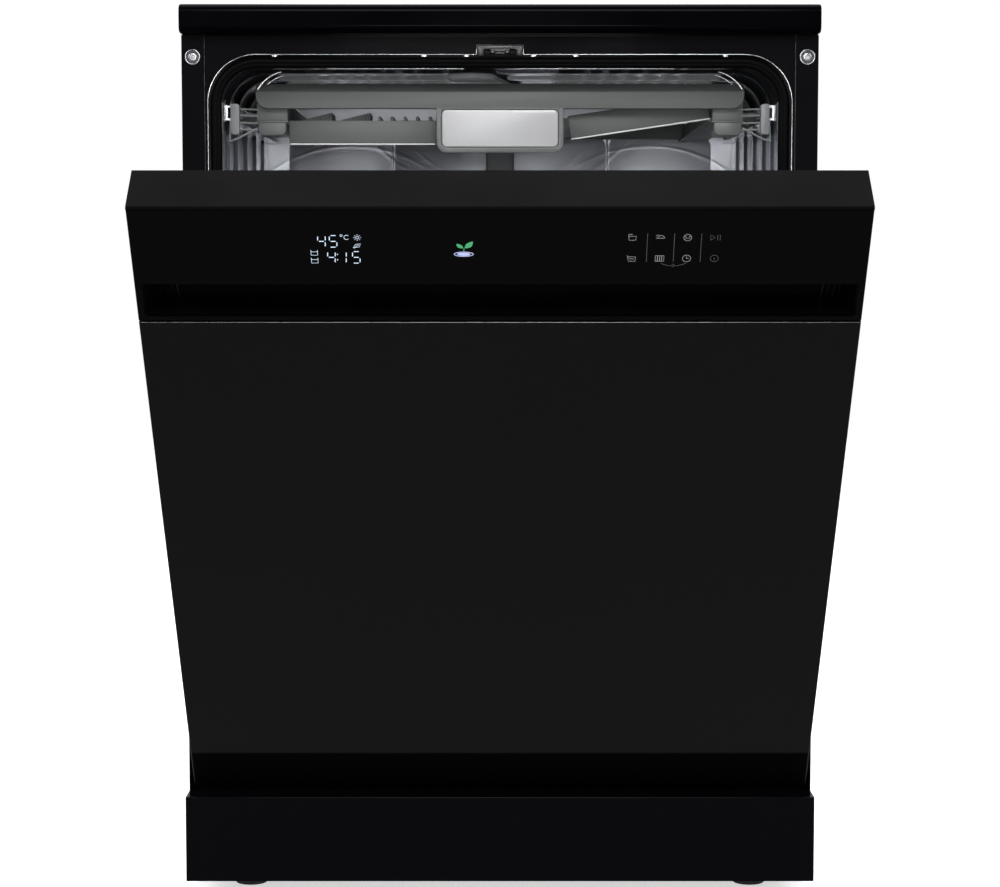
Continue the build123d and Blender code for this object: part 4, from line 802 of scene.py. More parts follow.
def trayBody():
    # front rail with its grip, end blocks, side troughs, slides and the bars that carry the inserts
    tray = {"half": 234.5, "front": 52, "back": 488, "low": 753, "high": 777, "grip": 61, "gripLow": 711,
            "border": 5, "side": 30, "endBack": 102, "troughLow": 745, "sideTop": 759}
    rail = boxMm("rail", -tray["half"], tray["half"], tray["front"], 64, tray["low"], tray["high"])
    bevelEdges(rail, lambda a, b: alongY(a, b) and a.z < 0.76, 12 * mm, 6)
    bevelEdges(rail, lambda a, b: alongX(a, b) and a.y < 0.053 and a.z > 0.776, 8 * mm, 1)
    soften(rail, 0.8 * mm)
    grip = boxMm("grip", -tray["grip"], tray["grip"], tray["front"], 58, tray["gripLow"], tray["low"] + 1)
    bevelEdges(grip, lambda a, b: alongY(a, b) and a.z < 0.72, 10 * mm, 6)
    inner = tray["grip"] - tray["border"]
    seat = boxMm("seat", -inner, inner, 51, 54, tray["gripLow"] + tray["border"], 752)
    bevelEdges(seat, alongY, 4.8 * mm, 4)
    cut(grip, seat)
    pieces = [rail, soften(grip, 0.5 * mm, 2, 40)]
    pieces.append(boxMm("back_rail", -tray["half"], tray["half"], 482, tray["back"], 746, 763))
    for lip in (1, 2):
        pieces.append(soften(boxMm("rib", -200, 200, 64, 66, 755 + lip * 8, 756.5 + lip * 8), 0.3 * mm))
    x0, x1 = tray["half"] - tray["side"], tray["half"]
    upper = soften(boxMm("end_upper", x0, x1, 62, tray["endBack"], 741.6, tray["sideTop"]), 1.2 * mm)
    lower = boxMm("end_lower", x0 + 2, x1 - 1.5, 62.5, tray["endBack"], 728, 740.4)
    bevelEdges(lower, lambda a, b: alongY(a, b) and a.z < 0.73, 5 * mm, 3)
    flange = soften(boxMm("end_flange", x0 - 0.5, x1 + 0.5, 61.4, 66, 740.2, 741.8), 0.4 * mm)
    trough = boxMm("trough", x0, x1, tray["endBack"], tray["back"], tray["troughLow"], tray["sideTop"])
    editFaces(trough, lambda f: f.normal.z > 0.9, (bpy.ops.mesh.inset, {"thickness": 2 * mm}),
              (bpy.ops.transform.translate, {"value": (0, 0, -12 * mm)}))
    slide = boxMm("slide", 250, 260.8, 92, 468, 744.6, 753.4)
    neck = boxMm("neck", 232.5, 251.4, 92, 468, 747, 751)
    sides = [upper, soften(lower, 0.8 * mm), flange, soften(trough, 0.4 * mm), soften(slide, 0.5 * mm), neck]
    for part in sides:
        pieces += mirrorPair(part)
    return smooth(join("cutlery_tray_frame", pieces + trayBars(-1, 0) + trayBars(1, insertTilt["rise"])), 35)


def trayBars(side, rise):
    # keel beside the middle gap, ledges under the insert and the web beside the trough
    low = 738.4 + rise
    ledgeTop = low + 2.3
    bars = ((55.4, 61.4, 60, 484, 761), (60.4, 69.4, 76, 478, ledgeTop), (200.5, 205.5, 76, 478, ledgeTop),
            (204.5, 206.5, 76, 488, 747))
    return [boxMm("bar", min(side * a, side * b), max(side * a, side * b), y0, y1, low, top)
            for a, b, y0, y1, top in bars]


def handlePlate():
    plate = boxMm("tray_plate", -55.7, 55.7, 51.1, 53.7, 716.3, 751.7)
    bevelEdges(plate, alongY, 4.6 * mm, 5)
    return smooth(soften(plate, 0.7 * mm, 3, 60), 40)


def rollerCarriage():
    # grey end carriages of the tray's slides with their little bars
    car = {"x0": 249.8, "x1": 258, "y0": 45, "y1": 54, "low": 728, "high": 757}
    block = boxMm("carriage", car["x0"], car["x1"], car["y0"], car["y1"], car["low"], car["high"])
    bevelEdges(block, alongY, 2.6 * mm, 4)
    pieces = mirrorPair(soften(block, 0.5 * mm))
    bars = []
    for z in (733, 739.5, 746.5, 752.5):
        bars.append([(251, 53, z), (233.5, 62.5, z)])
    bars.append([(259.5, 50, 721.5), (251, 50, 724.5), (234, 62.5, 735)])
    bars.append([(259.5, 50, 721.5), (258.6, 50, 736)])
    pieces += mirrorPair(wiresMm("bars", bars, 0.9, 2))
    for z in (736, 749):
        pieces += mirrorPair(rodMm("roller", (254, 52, z), (254, 56, z), 3.6))
    return smooth(join("tray_carriages", pieces), 40)


def insertPan(x0, x1, rise, ribs, ramps):
    # slotted floor, deep front skirt, low back wall, comb ribs and finned ramps
    pan = {"y0": 72, "y1": 476, "floor": 741 + rise, "sheet": 1.6, "skirt": 720 + rise, "margin": 14,
           "wall": 5, "comb": 4, "fins": 14, "finStep": 2, "finRise": 0.5}
    y0, y1, z, t = pan["y0"], pan["y1"], pan["floor"], pan["sheet"]
    front, back, top = y0 + pan["margin"], y1 - pan["margin"], z + t
    pieces = [soften(boxMm("skirt", x0, x1, y0, y0 + t, pan["skirt"], top), 0.5 * mm)]
    pieces.append(boxMm("end_wall", x0, x1, y1 - t, y1, z, z + pan["wall"]))
    pieces.append(boxMm("strip", x0, x1, y0 + t, front, z, top))
    pieces.append(boxMm("strip", x0, x1, back, y1 - t, z, top))
    for a, b in floorBars(x0, x1):
        pieces.append(boxMm("bar", a, b, front, back, z, top))
    for x in ribs:
        pieces.append(soften(boxMm("comb", x, x + 3, y0, y1, z, top + pan["comb"]), 0.8 * mm))
    for x in ramps:
        for i in range(pan["fins"]):
            at, high = x + pan["finStep"] * i, top + 0.6 + (i + 1) * pan["finRise"]
            pieces.append(boxMm("fin", at, at + 1.1, y0 + 0.2, y0 + 60, top - 0.4, high))
        pieces.append(boxMm("fin_web", x, x + 28, y0 + 20, y0 + 22, top - 0.2, top + 1.4))
    return pieces


def floorBars(x0, x1):
    # spans of the floor between its long slots
    slot = {"first": 16, "last": 22, "step": 18, "wide": 6}
    first, last = x0 + slot["first"], x1 - slot["last"]
    stations = spread(first, last, max(2, round((last - first) / slot["step"]) + 1))
    edges = [x0] + [v for x in stations for v in (x, x + slot["wide"])] + [x1]
    return list(zip(edges[::2], edges[1::2]))


def insertLeft():
    pan = insertPan(-203.9, -62, 0, spread(-118, -69, 5), (-190, -153))
    return smooth(join("insert_left", pan), 35)


def insertRight():
    x, z = insertTilt["x"], insertTilt["z"]
    pan = insertPan(x, 201.5, insertTilt["rise"], (), ())
    for y in spread(292, 442, 5):
        pan.append(boxMm("cross", 74, 193.5, y, y + 1.6, 745.5, 753.1))
    return smooth(turnAbout(join("insert_right", pan), Vector((x, 0, z)) * mm, -insertTilt["angle"], "Y"), 35)


def skirtHighlightLines():
    # painted highlights: light grey wires along the skirts' lower edges stand in for the glint on those
    # edges; the right one leans with its insert
    bead = {"y": 71.6, "low": -21, "far": 135.5, "radius": 0.75}
    along, up = math.cos(insertTilt["angle"]), math.sin(insertTilt["angle"])
    ends = []
    for reach in (0, bead["far"]):
        ends.append((insertTilt["x"] + reach * along - bead["low"] * up, bead["y"],
                     insertTilt["z"] + reach * up + bead["low"] * along))
    left = [(-203, bead["y"], 720), (-62.6, bead["y"], 720)]
    return wiresMm("highlight_line_left", [left], bead["radius"], 2), wiresMm("highlight_line_right", [ends], bead["radius"], 2)


def flangeScrews():
    # cross-slotted screws, each in its cup with a bright ring
    screw = {"x": 288.5, "z": 797.5, "y": 0.35, "ring": 6.7, "cup": 6.6, "head": 4.5, "crown": 3.4,
             "shank": 2}
    x, y, z = screw["x"], screw["y"], screw["z"]
    ring = addRing("cup_ring", Vector((x, y, z)) * mm, (0, 1, 0), screw["ring"] * mm, 0.65 * mm, 40, 10)
    cup = rodMm("cup", (x, y + 0.2, z), (x, y + 0.6, z), screw["cup"], 40)
    head = rodMm("head", (x, y + 0.5, z), (x, y - 0.55, z), screw["head"], 40, screw["crown"])
    soften(head, 0.25 * mm, 2, 30)
    for wide, tall in ((2.4, 0.7), (0.7, 2.4)):
        cut(head, boxMm("slot", x - wide, x + wide, -1.2, 0.25, z - tall, z + tall))
    shank = rodMm("shank", (x, y, z), (x, y + 13.5, z), screw["shank"], 20)
    ring = smooth(join("screws", mirrorPair(ring) + mirrorPair(head) + mirrorPair(shank)), 40)
    cup = smooth(join("screw_cups", mirrorPair(cup)), 40)
    return ring, cup


place(trayBody(), "tray", "cutlery_tray", "tray_grey", "cutlery_tray")
place(handlePlate(), "silver", "cutlery_tray", "plate_silver", "tray_handle_plate")
place(rollerCarriage(), "arm", "cutlery_tray", "tray_grey")
place(insertLeft(), "insert", "tray_insert_left", "tray_grey", "tray_insert_left")
place(insertRight(), "insert", "tray_insert_right", "tray_grey", "tray_insert_right")
# light grey wires as painted highlights on the insert skirts' lower edges
highlightLineLeft, highlightLineRight = skirtHighlightLines()
place(highlightLineLeft, "bead", "tray_insert_left", "tray_grey")
place(highlightLineRight, "bead", "tray_insert_right", "tray_grey")
screws, cups = flangeScrews()
place(screws, "zinc", "cabinet", "screw_steel", "flange_screws")
place(cups, "cup", "cabinet", "screw_steel")
print("cutlery tray modelled")


glassFace = -50.4  # depth of the shut door's face


def onGlass(name, shapes, radius):
    # thin flat lines drawn on the shut door's face; shapes are lists of (x, z) in millimetres
    line = {"lift": 0.05, "flat": 0.25}
    y = glassFace - line["lift"]
    mark = wiresMm(name, [[(x, y, z) for x, z in shape] for shape in shapes], radius)
    mark.data.transform(Matrix.Translation((0, y * mm * (1 - line["flat"]), 0))
                        @ Matrix.Scale(line["flat"], 4, (0, 1, 0)))
    return mark


def circle(x, z, radius, count=20, start=0.0, sweep=1.0):
    return [(x + radius * math.cos(math.tau * (start + sweep * i / count)),
             z + radius * math.sin(math.tau * (start + sweep * i / count))) for i in range(count + 1)]


def digit(value, x, z, wide, tall):
    # seven-segment figure with slightly slanted strokes; x, z is its lower left corner
    gap, slant = wide * 0.17, 0.04
    lit = {"1": "bc", "4": "fgbc", "5": "afgcd"}[value]
    ends = {"a": ((0, 2), (1, 2)), "b": ((1, 2), (1, 1)), "c": ((1, 1), (1, 0)), "d": ((0, 0), (1, 0)),
            "e": ((0, 1), (0, 0)), "f": ((0, 2), (0, 1)), "g": ((0, 1), (1, 1))}
    strokes = []
    for key in lit:
        (x0, z0), (x1, z1) = ends[key]
        a = Vector((x0 * wide, z0 * tall / 2))
        b = Vector((x1 * wide, z1 * tall / 2))
        along = (b - a).normalized() * gap
        a, b = a + along, b - along
        strokes.append([(x + p.x + p.y * slant, z + p.y) for p in (a, b)])
    return strokes


def displayMarks():
    # two rows: a wash temperature with its sign, sun and leaf, then two tubs and a time
    show = {"rowHigh": 771.6, "rowLow": 755.8, "tall": 11.4, "wide": 6.0, "stroke": 0.42}
    tall, wide = show["tall"], show["wide"]
    strokes = digit("4", -144.6, show["rowHigh"], wide, tall)
    strokes += digit("5", -135.4, show["rowHigh"], wide, tall)
    strokes += digit("4", -137.4, show["rowLow"], wide, tall) + digit("1", -128.6, show["rowLow"], wide, tall)
    strokes += digit("5", -117.6, show["rowLow"], wide, tall)
    thick = onGlass("digits", strokes, show["stroke"])
    sun = [[(-113 + math.cos(a) * r, 781 + math.sin(a) * r) for r in (2.1, 3.1)]
           for a in (math.tau * i / 8 for i in range(8))]
    tubs = []
    for z in (763.6, 755.9):
        tubs.append([(-150.2, z + 5), (-150.2, z), (-145, z), (-145, z + 5)])
        tubs.append([(-150.2, z + 3.4), (-145, z + 3.4)])
    colon = [circle(-129.3, z, 0.35, 8) for z in (759.2, 764.4)]
    degree = [circle(-125.6, 783, 0.9, 12), circle(-121.4, 781.2, 2.1, 14, 0.12, 0.76)]
    leaf = [[(-116.4, 771), (-114.4, 774.4), (-110.6, 775), (-111.6, 771.8), (-116.4, 771)],
            [(-116, 770.6), (-112, 774)]]
    sun.append(circle(-113, 781, 1.2, 12))
    thin = onGlass("display_signs", sun + tubs + colon + degree + leaf, 0.21)
    return swingOpen(join("display_marks", [thick, thin]))


plantAt = {"x": -28.6, "z": 770.0}


def plantMark():
    # two leaves on a stem
    x, z = plantAt["x"], plantAt["z"]
    leaves = []
    for side, reach, rise in ((-1, 6.4, 4.2), (1, 7.6, 6.4)):
        leaf = [(x, z), (x + side * reach * 0.25, z + 0.4 + rise * 0.75), (x + side * reach, z + 1.2 + rise),
                (x + side * reach * 0.8, z + rise * 0.25)]
        leaves.append(filledShape("leaf", leaf))
    stem = onGlass("stem", [[(x, z + 0.4), (x - 0.2, z - 3.6)]], 0.4)
    return swingOpen(join("plant_leaves", leaves + [stem]))


def filledShape(name, outline, lift=0.06):
    # flat filled mark with rounded corners on the shut door's face
    curve = bpy.data.curves.new(name, "CURVE")
    curve.dimensions = "2D"
    curve.fill_mode = "BOTH"
    curve.extrude = 0.00002
    spline = curve.splines.new("POLY")
    points = roundPath([(x, z, 0) for x, z in outline], 2.0, 4, True)
    spline.points.add(len(points) - 1)
    for point, at in zip(spline.points, points):
        point.co = (at.x * mm, at.y * mm, 0, 1)
    spline.use_cyclic_u = True
    obj = bpy.data.objects.new(name, curve)
    bpy.context.collection.objects.link(obj)
    choose(obj)
    bpy.ops.object.convert(target="MESH")
    obj = bpy.context.object
    obj.data.transform(Matrix.Rotation(math.radians(90), 4, "X"))
    obj.data.transform(Matrix.Translation((0, (glassFace - lift) * mm, 0)))
    return obj


def ovalMark():
    # lying oval of water under the plant: a filled middle and two rings
    rings = []
    for wide, tall in ((7.6, 2.1), (4.9, 1.2)):
        unit = circle(0, 0, 1, 28)
        rings.append([(plantAt["x"] - 0.2 + wide * x, plantAt["z"] - 5.4 + tall * z) for x, z in unit])
    body = filledShape("oval", rings[1][:-1], 0.04)
    return swingOpen(join("plant_water", [onGlass("oval_ring", rings, 0.35), body]))


def touchIcons():
    # two rows of four symbols with three dividers and a small bracket under the middle
    cols, high, low = (104.8, 127.0, 148.5, 170.6), 781, 760.4
    pan = [[(-3, 1.2), (3, 1.2), (2.6, -2.6), (-2.6, -2.6), (-3, 1.2)], [(-3, 1.2), (-3, 3.2), (0, 3.2)]]
    drop = [[(-3.6, -0.6), (3.4, -0.6)], circle(0.6, -0.6, 2.6, 12, 0.0, 0.5), [(-3.6, 1.6), (-1.4, 2.8)]]
    cup = [circle(0, 0, 3.1, 18), [(-1.5, 1.4), (-1.5, -0.6), (1.4, -0.6), (1.4, 1.4)], [(1.4, 1), (2.4, 1)]]
    rack = [[(-3.2, 1.6), (3.2, 1.6), (2.6, -2.8), (-2.6, -2.8), (-3.2, 1.6)], [(-3.2, 1.6), (-3.8, 3)],
            [(-1.8, -0.4), (1.8, -0.4)]]
    grid = [[(-3.4, -2.8), (3.4, -2.8), (3.4, 2.8), (-3.4, 2.8), (-3.4, -2.8)]]
    grid += [[(x, -2.8), (x, 2.8)] for x in (-1.7, 0, 1.7)]
    clock = [circle(0, 0, 3.3, 20), [(0, 2), (0, 0), (1.6, 0)]]
    lit = []
    for z, row in ((high, (pan, drop, cup)), (low, (rack, grid, clock))):
        for x, shapes in zip(cols, row):
            lit += [[(x + a, z + b) for a, b in shape] for shape in shapes]
    start = [[(-4, -2.6), (-4, 2.6), (-0.4, 0), (-4, -2.6)]] + [[(x, -2.6), (x, 2.6)] for x in (1.6, 3.6)]
    power = [circle(0, 0, 3.2, 20), [(0, 0.8), (0, -1.4)]]
    dim = [[(cols[3] + a, z + b) for a, b in shape] for z, shapes in ((high, start), (low, power))
           for shape in shapes]
    for x in (116.6, 138.0, 159.4):
        dim.append([(x, 757), (x, 785)])
    dim.append([(128, 755.4), (134, 753.2), (136, 753.2)])
    dim.append([(140, 753.2), (142, 753.2), (148, 755.4)])
    dim.append(circle(138, 753.4, 1.1, 10))
    return swingOpen(onGlass("touch_icons", lit, 0.3)), swingOpen(onGlass("touch_faint", dim, 0.22))


place(displayMarks(), "digit", "door", "control_glass")
place(plantMark(), "leaf", "door", "control_glass")
place(ovalMark(), "water", "door", "control_glass")
icons, faint = touchIcons()
place(icons, "print", "door", "control_glass")
place(faint, "faint", "door", "control_glass")
print("control marks modelled")


def ceilingHighlightRods():
    # rods along the tub ceiling and curved lines near its corners, in brighter steel than the tub, put there
    # to catch the light as painted highlights; the curved lines hang free of the wall
    bead = {"radius": 1.15, "runs": ((20.8, 788.4, -164, -34), (20.8, 788.4, 20, 165),
                                     (158, 788.2, -217, -16), (158, 788.2, 42, 199))}
    bend = {"x": 200, "radius": 34, "thick": 0.8, "rows": ((24, 786.2), (60, 785.6))}
    pieces = [rodMm("bead", (x0, y, z), (x1, y, z), bead["radius"], 16) for y, z, x0, x1 in bead["runs"]]
    angles = [math.radians(d) for d in range(12, 62, 6)]
    arc = [(bend["x"] + bend["radius"] * math.sin(a), bend["radius"] * (math.cos(a) - 1)) for a in angles]
    for side in (-1, 1):
        for y, z in bend["rows"]:
            pieces.append(wiresMm("corner_glint", [[(side * x, y, z + drop) for x, drop in arc]],
                                  bend["thick"], 2))
    return smooth(join("ceiling_highlight_rods", pieces), 60)


def flangeEdgeHighlights():
    # bright wires on the folded inner edges of the two side flanges: a painted highlight along the black
    # enamel folds
    edge = {"x": 277.6, "y": 0.45, "low": 240, "high": 817, "radius": 0.3}
    lines = [[(side * edge["x"], edge["y"], z) for z in (edge["low"], edge["high"])] for side in (-1, 1)]
    return wiresMm("flange_edge_highlights", lines, edge["radius"])


def keeper():
    # latch keeper: dark bracket with two prongs and a mouth between them
    body = boxMm("keeper", -21.3, 21.3, 0.2, 15, 798.6, 808)
    mouth = boxMm("mouth", -15, 15, -3, 11, 796, 804.6)
    bevelEdges(mouth, lambda a, b: alongY(a, b) and a.z > 0.8, 2 * mm, 3)
    cut(body, mouth)
    pieces = [soften(body, 0.5 * mm, 2, 50)]
    for x in (-6.8, 6.8):
        prong = boxMm("prong", x - 2.2, x + 2.2, -6.9, 12, 800.4, 803.4)
        bevelEdges(prong, lambda a, b: alongX(a, b) and a.y < -0.006, 1.6 * mm, 3)
        pieces.append(soften(prong, 0.4 * mm))
        pieces.append(rodMm("pin", (x, -6.98, 801.9), (x, -6.2, 801.9), 1.3))
    pieces.append(boxMm("bridge", -9, 9, 0.4, 12, 803, 805))
    return smooth(join("keeper", pieces), 35)


def recessRibs():
    # ribs leaning at both ends of the long handle recess and a line along its lower seam, both in the
    # brighter edge metal: the seam line is a painted highlight, and the ribs' light tone is painted highlight
    # on real ribs
    rib = {"first": 262, "step": 4.6, "count": 5, "lean": 3, "y": -27, "low": 703, "high": 732}
    paths = []
    for side in (-1, 1):
        for i in range(rib["count"]):
            x = rib["first"] + rib["step"] * i
            foot, head = side * x, side * (x + rib["lean"])
            paths.append([(foot, rib["y"], rib["low"]), (head, rib["y"], rib["high"])])
    ribs = wiresMm("recess_ribs", paths, 0.5)
    seam = wiresMm("seam_highlight_line", [[(-292.6, -49.95, 695), (292.6, -49.95, 695)]], 0.42, 2)
    return swingOpen(join("recess_ribs", [ribs, seam]))


# brighter steel rods and arcs as painted highlights in the tub ceiling
place(ceilingHighlightRods(), "lip", "cabinet", "tub_steel")
# bright wires as painted highlights on the black flange folds
place(flangeEdgeHighlights(), "edge", "cabinet", "cabinet_black")
place(keeper(), "latch", "cabinet", "latch_black", "latch_strike")
# the seam line and the light tone of the ribs here are painted highlights
place(recessRibs(), "edge", "door", "door_black")
print("bright edges and keeper modelled")


wireRadius = 1.5


def meshWires(u0, u1, v0, v1, count, at):
    # wires of a rectangular panel both ways; at(u, v) gives the point in millimetres
    us = spread(u0, u1, count[0])
    vs = spread(v0, v1, count[1])
    return [[at(u, v0), at(u, v1)] for u in us] + [[at(u0, v), at(u1, v)] for v in vs]


def basketWires(low, high, drop):
    # floor and four walls; the front wall is lower by drop
    half, front, back = 234.5, 37.5, 496.5
    low, high = low + wireRadius, high - wireRadius
    wires = meshWires(-half, half, front, back, (19, 16), lambda u, v: (u, v, low))
    for x in (-half, half):
        wires += meshWires(front, back, low, high, (16, 5), lambda u, v: (x, u, v))
    wires += meshWires(-half, half, low, high, (19, 5), lambda u, v: (u, back, v))
    wires += meshWires(-half, half, low, high - drop, (19, 4), lambda u, v: (u, front, v))
    return wires


def tineWires(y, low, x0, x1, tall):
    # a lying wire with a row of upright ones on it
    step = 29
    count = int((x1 - x0 - 2 * wireRadius) // step) + 1
    row = [[(x0, y, low), (x1, y, low)]]
    for x in spread(x0 + wireRadius, x1 - wireRadius, count):
        row.append([(x, y, low), (x, y, low + tall - 2 * wireRadius)])
    return row


def basketGrip(name, half, low, high, y0, y1):
    grip = boxMm(name, -half, half, y0, y1, low, high)
    bevelEdges(grip, alongY, 6 * mm, 5)
    return soften(grip, 1.2 * mm, 3, 50)


axles = (90, 430)  # depths of the lower basket's wheels


def upperBasket():
    wires = basketWires(462, 602, 30)
    for y in (111.5, 191.5, 271.5, 351.5, 431.5):
        wires += tineWires(y, 466.5, -200, 120, 42)
    pieces = [wiresMm("upper_wires", wires, wireRadius)]
    slide = soften(boxMm("slide", 250, 260.4, 66, 476, 524.6, 545.4), 0.8 * mm)
    neck = boxMm("neck", 236, 251.4, 66, 476, 533, 537)
    pieces += mirrorPair(slide) + mirrorPair(neck)
    feed = boxMm("feed", -9, 9, 243, 499.7, 451, 462)
    bevelEdges(feed, alongY, 3.5 * mm, 4)
    spindle = rodMm("spindle", (0, 255, 437), (0, 255, 452.2), 4)
    return smooth(join("upper_basket_wires", pieces + [smooth(feed, 40), spindle]), 60)


def lowerBasket():
    wires = basketWires(236, 376, 0)
    for y in (111.5, 301.5, 391.5):
        wires += tineWires(y, 240.5, -200, 200, 62)
    pieces = [wiresMm("lower_wires", wires, wireRadius)]
    for y in axles:
        leg = boxMm("leg", 228, 234, y - 8, y + 8, 197, 236)
        bevelEdges(leg, alongX, 3 * mm, 3)
        axle = rodMm("axle", (232, y, 204), (249, y, 204), 2.9, 20)
        pieces += mirrorPair(leg) + mirrorPair(axle)
    return smooth(join("lower_basket_wires", pieces), 60)


def wheelPair(name, y):
    # dished wheels with a bored hub and six small bosses
    wheel = {"x": 243.6, "z": 204, "half": 4, "radius": 17.6, "rim": 3.2, "bossAt": 9.5, "bossHalf": 3.6}
    x, z = wheel["x"], wheel["z"]
    disc = rodMm("wheel", (x - wheel["half"], y, z), (x + wheel["half"], y, z), wheel["radius"], 40)
    middle = tuple(Vector((x, y, z)) * mm)
    editFaces(disc, lambda f: abs(f.normal.x) > 0.9, (bpy.ops.mesh.inset, {"thickness": wheel["rim"] * mm}),
              (bpy.ops.transform.resize, {"value": (0.72, 1, 1), "center_override": middle}))
    soften(disc, 0.7 * mm, 2, 40)
    cut(disc, rodMm("bore", (230, y, z), (260, y, z), 3.05, 20))
    hub = []
    for py, pz in circle(y, z, wheel["bossAt"], 6)[:-1]:
        hub.append(rodMm("boss", (x - wheel["bossHalf"], py, pz), (x + wheel["bossHalf"], py, pz), 1.6, 12))
    return smooth(join(name, mirrorPair(join("wheel", [disc] + hub))), 35)


def sprayArm(name, z, thick, turn, bore):
    # long blade with round ends, a bored hub and the rims of its nozzles
    arm = {"half": 23, "reach": 222, "end": 21.5, "hub": 19.6, "y": 255, "off": 6,
           "nozzles": (60, 102, 144, 186)}
    top = z + thick
    blade = boxMm("blade", -arm["half"], arm["half"], -arm["reach"], arm["reach"], z, top)
    bevelEdges(blade, alongZ, arm["end"] * mm, 8)
    soften(blade, min(2.0, thick / 3) * mm, 3, 50)
    hub = rodMm("hub", (0, 0, z - 1), (0, 0, top + 0.8), arm["hub"], 40)
    pieces = [blade, soften(hub, 0.4 * mm, 2, 60)]
    for side in (-1, 1):
        for y in arm["nozzles"]:
            spot = toMetres((side * arm["off"], side * y, top))
            pieces.append(addRing("nozzle", spot, (0, 0, 1), 3.2 * mm, 0.7 * mm, 20, 6))
    whole = join(name, pieces)
    cut(whole, rodMm("bore", (0, 0, z - 9), (0, 0, top + 9), bore + 0.06, 32))
    spin = Matrix.Rotation(math.radians(turn), 4, "Z")
    whole.data.transform(Matrix.Translation((0, arm["y"] * mm, 0)) @ spin)
    return smooth(whole, 35)


def panBlock(name, grow, y0, y1):
    # the liner's pan outline as a block, larger all round by grow
    pan = {"half": 246, "low": 204, "high": 768, "corner": 24}
    half = pan["half"] + grow
    block = boxMm(name, -half, half, y0, y1, pan["low"] - grow, pan["high"] + grow)
    bevelEdges(block, alongY, (pan["corner"] + grow) * mm, 8)
    return block


def linerSheet():
    # pressed sheet: rim round a broad sunk pan, raised frames in it, cut for the dispenser
    sheet = {"half": 288.4, "low": 136, "high": 806, "slotX": 285.5, "beadY": -10.6, "beadCorner": 14}
    rim = boxMm("liner", -sheet["half"], sheet["half"], -1.2, -0.45, sheet["low"], sheet["high"])
    cut(rim, panBlock("window", 0, -3, 2))
    pan = panBlock("pan", 0.4, -11.1, -0.5)
    bevelEdges(pan, lambda a, b: a.y < -0.011 and b.y < -0.011, 5 * mm, 4)
    inner = panBlock("inner", -0.4, -10.4, 2)
    bevelEdges(inner, lambda a, b: a.y < -0.01 and b.y < -0.01, 4.4 * mm, 4)
    cut(pan, inner)
    liner = join("liner_sheet", [rim, pan])
    cut(liner, boxMm("gap", -82, 92, -40, 5, 430, 540))
    for x in (-sheet["slotX"], sheet["slotX"]):
        cut(liner, boxMm("slot", x - 3, x + 3, -20, 5, 174, 202))
    cut(liner, boxMm("latch_gap", -22, 22, -9, 5, 794.2, 808))
    fields = ((-205, 205, 590, 728), (-205, -110, 400, 562), (118, 205, 400, 562), (-205, 205, 240, 372))
    y = sheet["beadY"]
    frames = [[(x0, y, z0), (x1, y, z0), (x1, y, z1), (x0, y, z1)] for x0, x1, z0, z1 in fields]
    bead = wiresMm("beads", frames, 1.6, 3, sheet["beadCorner"], True)
    return swingOpen(smooth(join("liner_sheet", [liner, bead]), 35))


def dispenserLid():
    # sliding lid with two low ribs and a ribbed finger tab
    lid = boxMm("lid", -78, -8, -9.3, -7.1, 441.6, 528.4)
    bevelEdges(lid, alongY, 5 * mm, 5)
    soften(lid, 0.6 * mm, 2, 50)
    pieces = [lid]
    tab = boxMm("tab", -18, -12, -7.2, -4.3, 461.6, 508.4)
    bevelEdges(tab, alongY, 2 * mm, 3)
    pieces.append(soften(tab, 0.8 * mm, 2, 50))
    for i in range(5):
        z = 466 + 9 * i
        pieces.append(soften(boxMm("grip_rib", -15.8, -14.2, -4.6, -4.2, z, z + 5), 0.1 * mm))
    for z in (452, 518):
        pieces.append(soften(boxMm("rib", -70, -26, -7.3, -6.7, z - 0.8, z + 0.8), 0.25 * mm))
    return swingOpen(smooth(join("lid_shell", pieces), 40))


def rinseCap():
    # round cap with a turning wing and small knobs round its edge
    x, z = 72, 485
    cap = rodMm("cap", (x, -9.3, z), (x, -7, z), 15.9, 48)
    soften(cap, 0.7 * mm, 3, 40)
    stem = rodMm("stem", (x, -19.2, z), (x, -9.2, z), 12.4, 40)
    wing = boxMm("wing", x - 9.6, x + 9.6, -7.3, -4.0, z - 2.3, z + 2.3)
    bevelEdges(wing, alongX, 1.6 * mm, 3)
    pieces = [cap, stem, soften(wing, 0.5 * mm, 2, 50)]
    for px, pz in circle(x, z, 14.4, 24)[:-1]:
        pieces.append(rodMm("knurl", (px, -8.6, pz), (px, -6.75, pz), 0.8, 8))
    return swingOpen(smooth(join("rinse_cap", pieces), 40))


def shelfWires():
    wires = meshWires(141.6, 230.6, 91.5, 438.5, (5, 14), lambda u, v: (u, v, 555.5))
    return wiresMm("shelf_wires", wires, wireRadius)


def foldWires():
    return wiresMm("fold_wires", tineWires(201.5, 241.3, -196, 196, 62), wireRadius)


place(upperBasket(), "wire", "upper_basket", "wire_grey", "upper_basket")
place(basketGrip("upper_grip", 60, 558, 574, 30, 36), "wheel", "upper_basket", "wire_grey")
place(lowerBasket(), "wire", "lower_basket", "wire_grey", "lower_basket")
place(basketGrip("lower_grip", 70, 360, 378, 30, 36), "wheel", "lower_basket", "wire_grey")
place(shelfWires(), "wire", "cup_shelf", "wire_grey", "cup_shelf")
place(foldWires(), "wire", "plate_tines", "wire_grey", "plate_tines")
place(wheelPair("wheels_front_pair", axles[0]), "wheel", "wheels_front", "wheel_plastic", "wheels_front")
place(wheelPair("wheels_rear_pair", axles[1]), "wheel", "wheels_rear", "wheel_plastic", "wheels_rear")
print("baskets modelled")
place(linerSheet(), "liner", "door", "liner_steel", "door_inner_liner")
place(dispenserLid(), "dispenser", "dispenser_lid", "dispenser_plastic", "dispenser_lid")
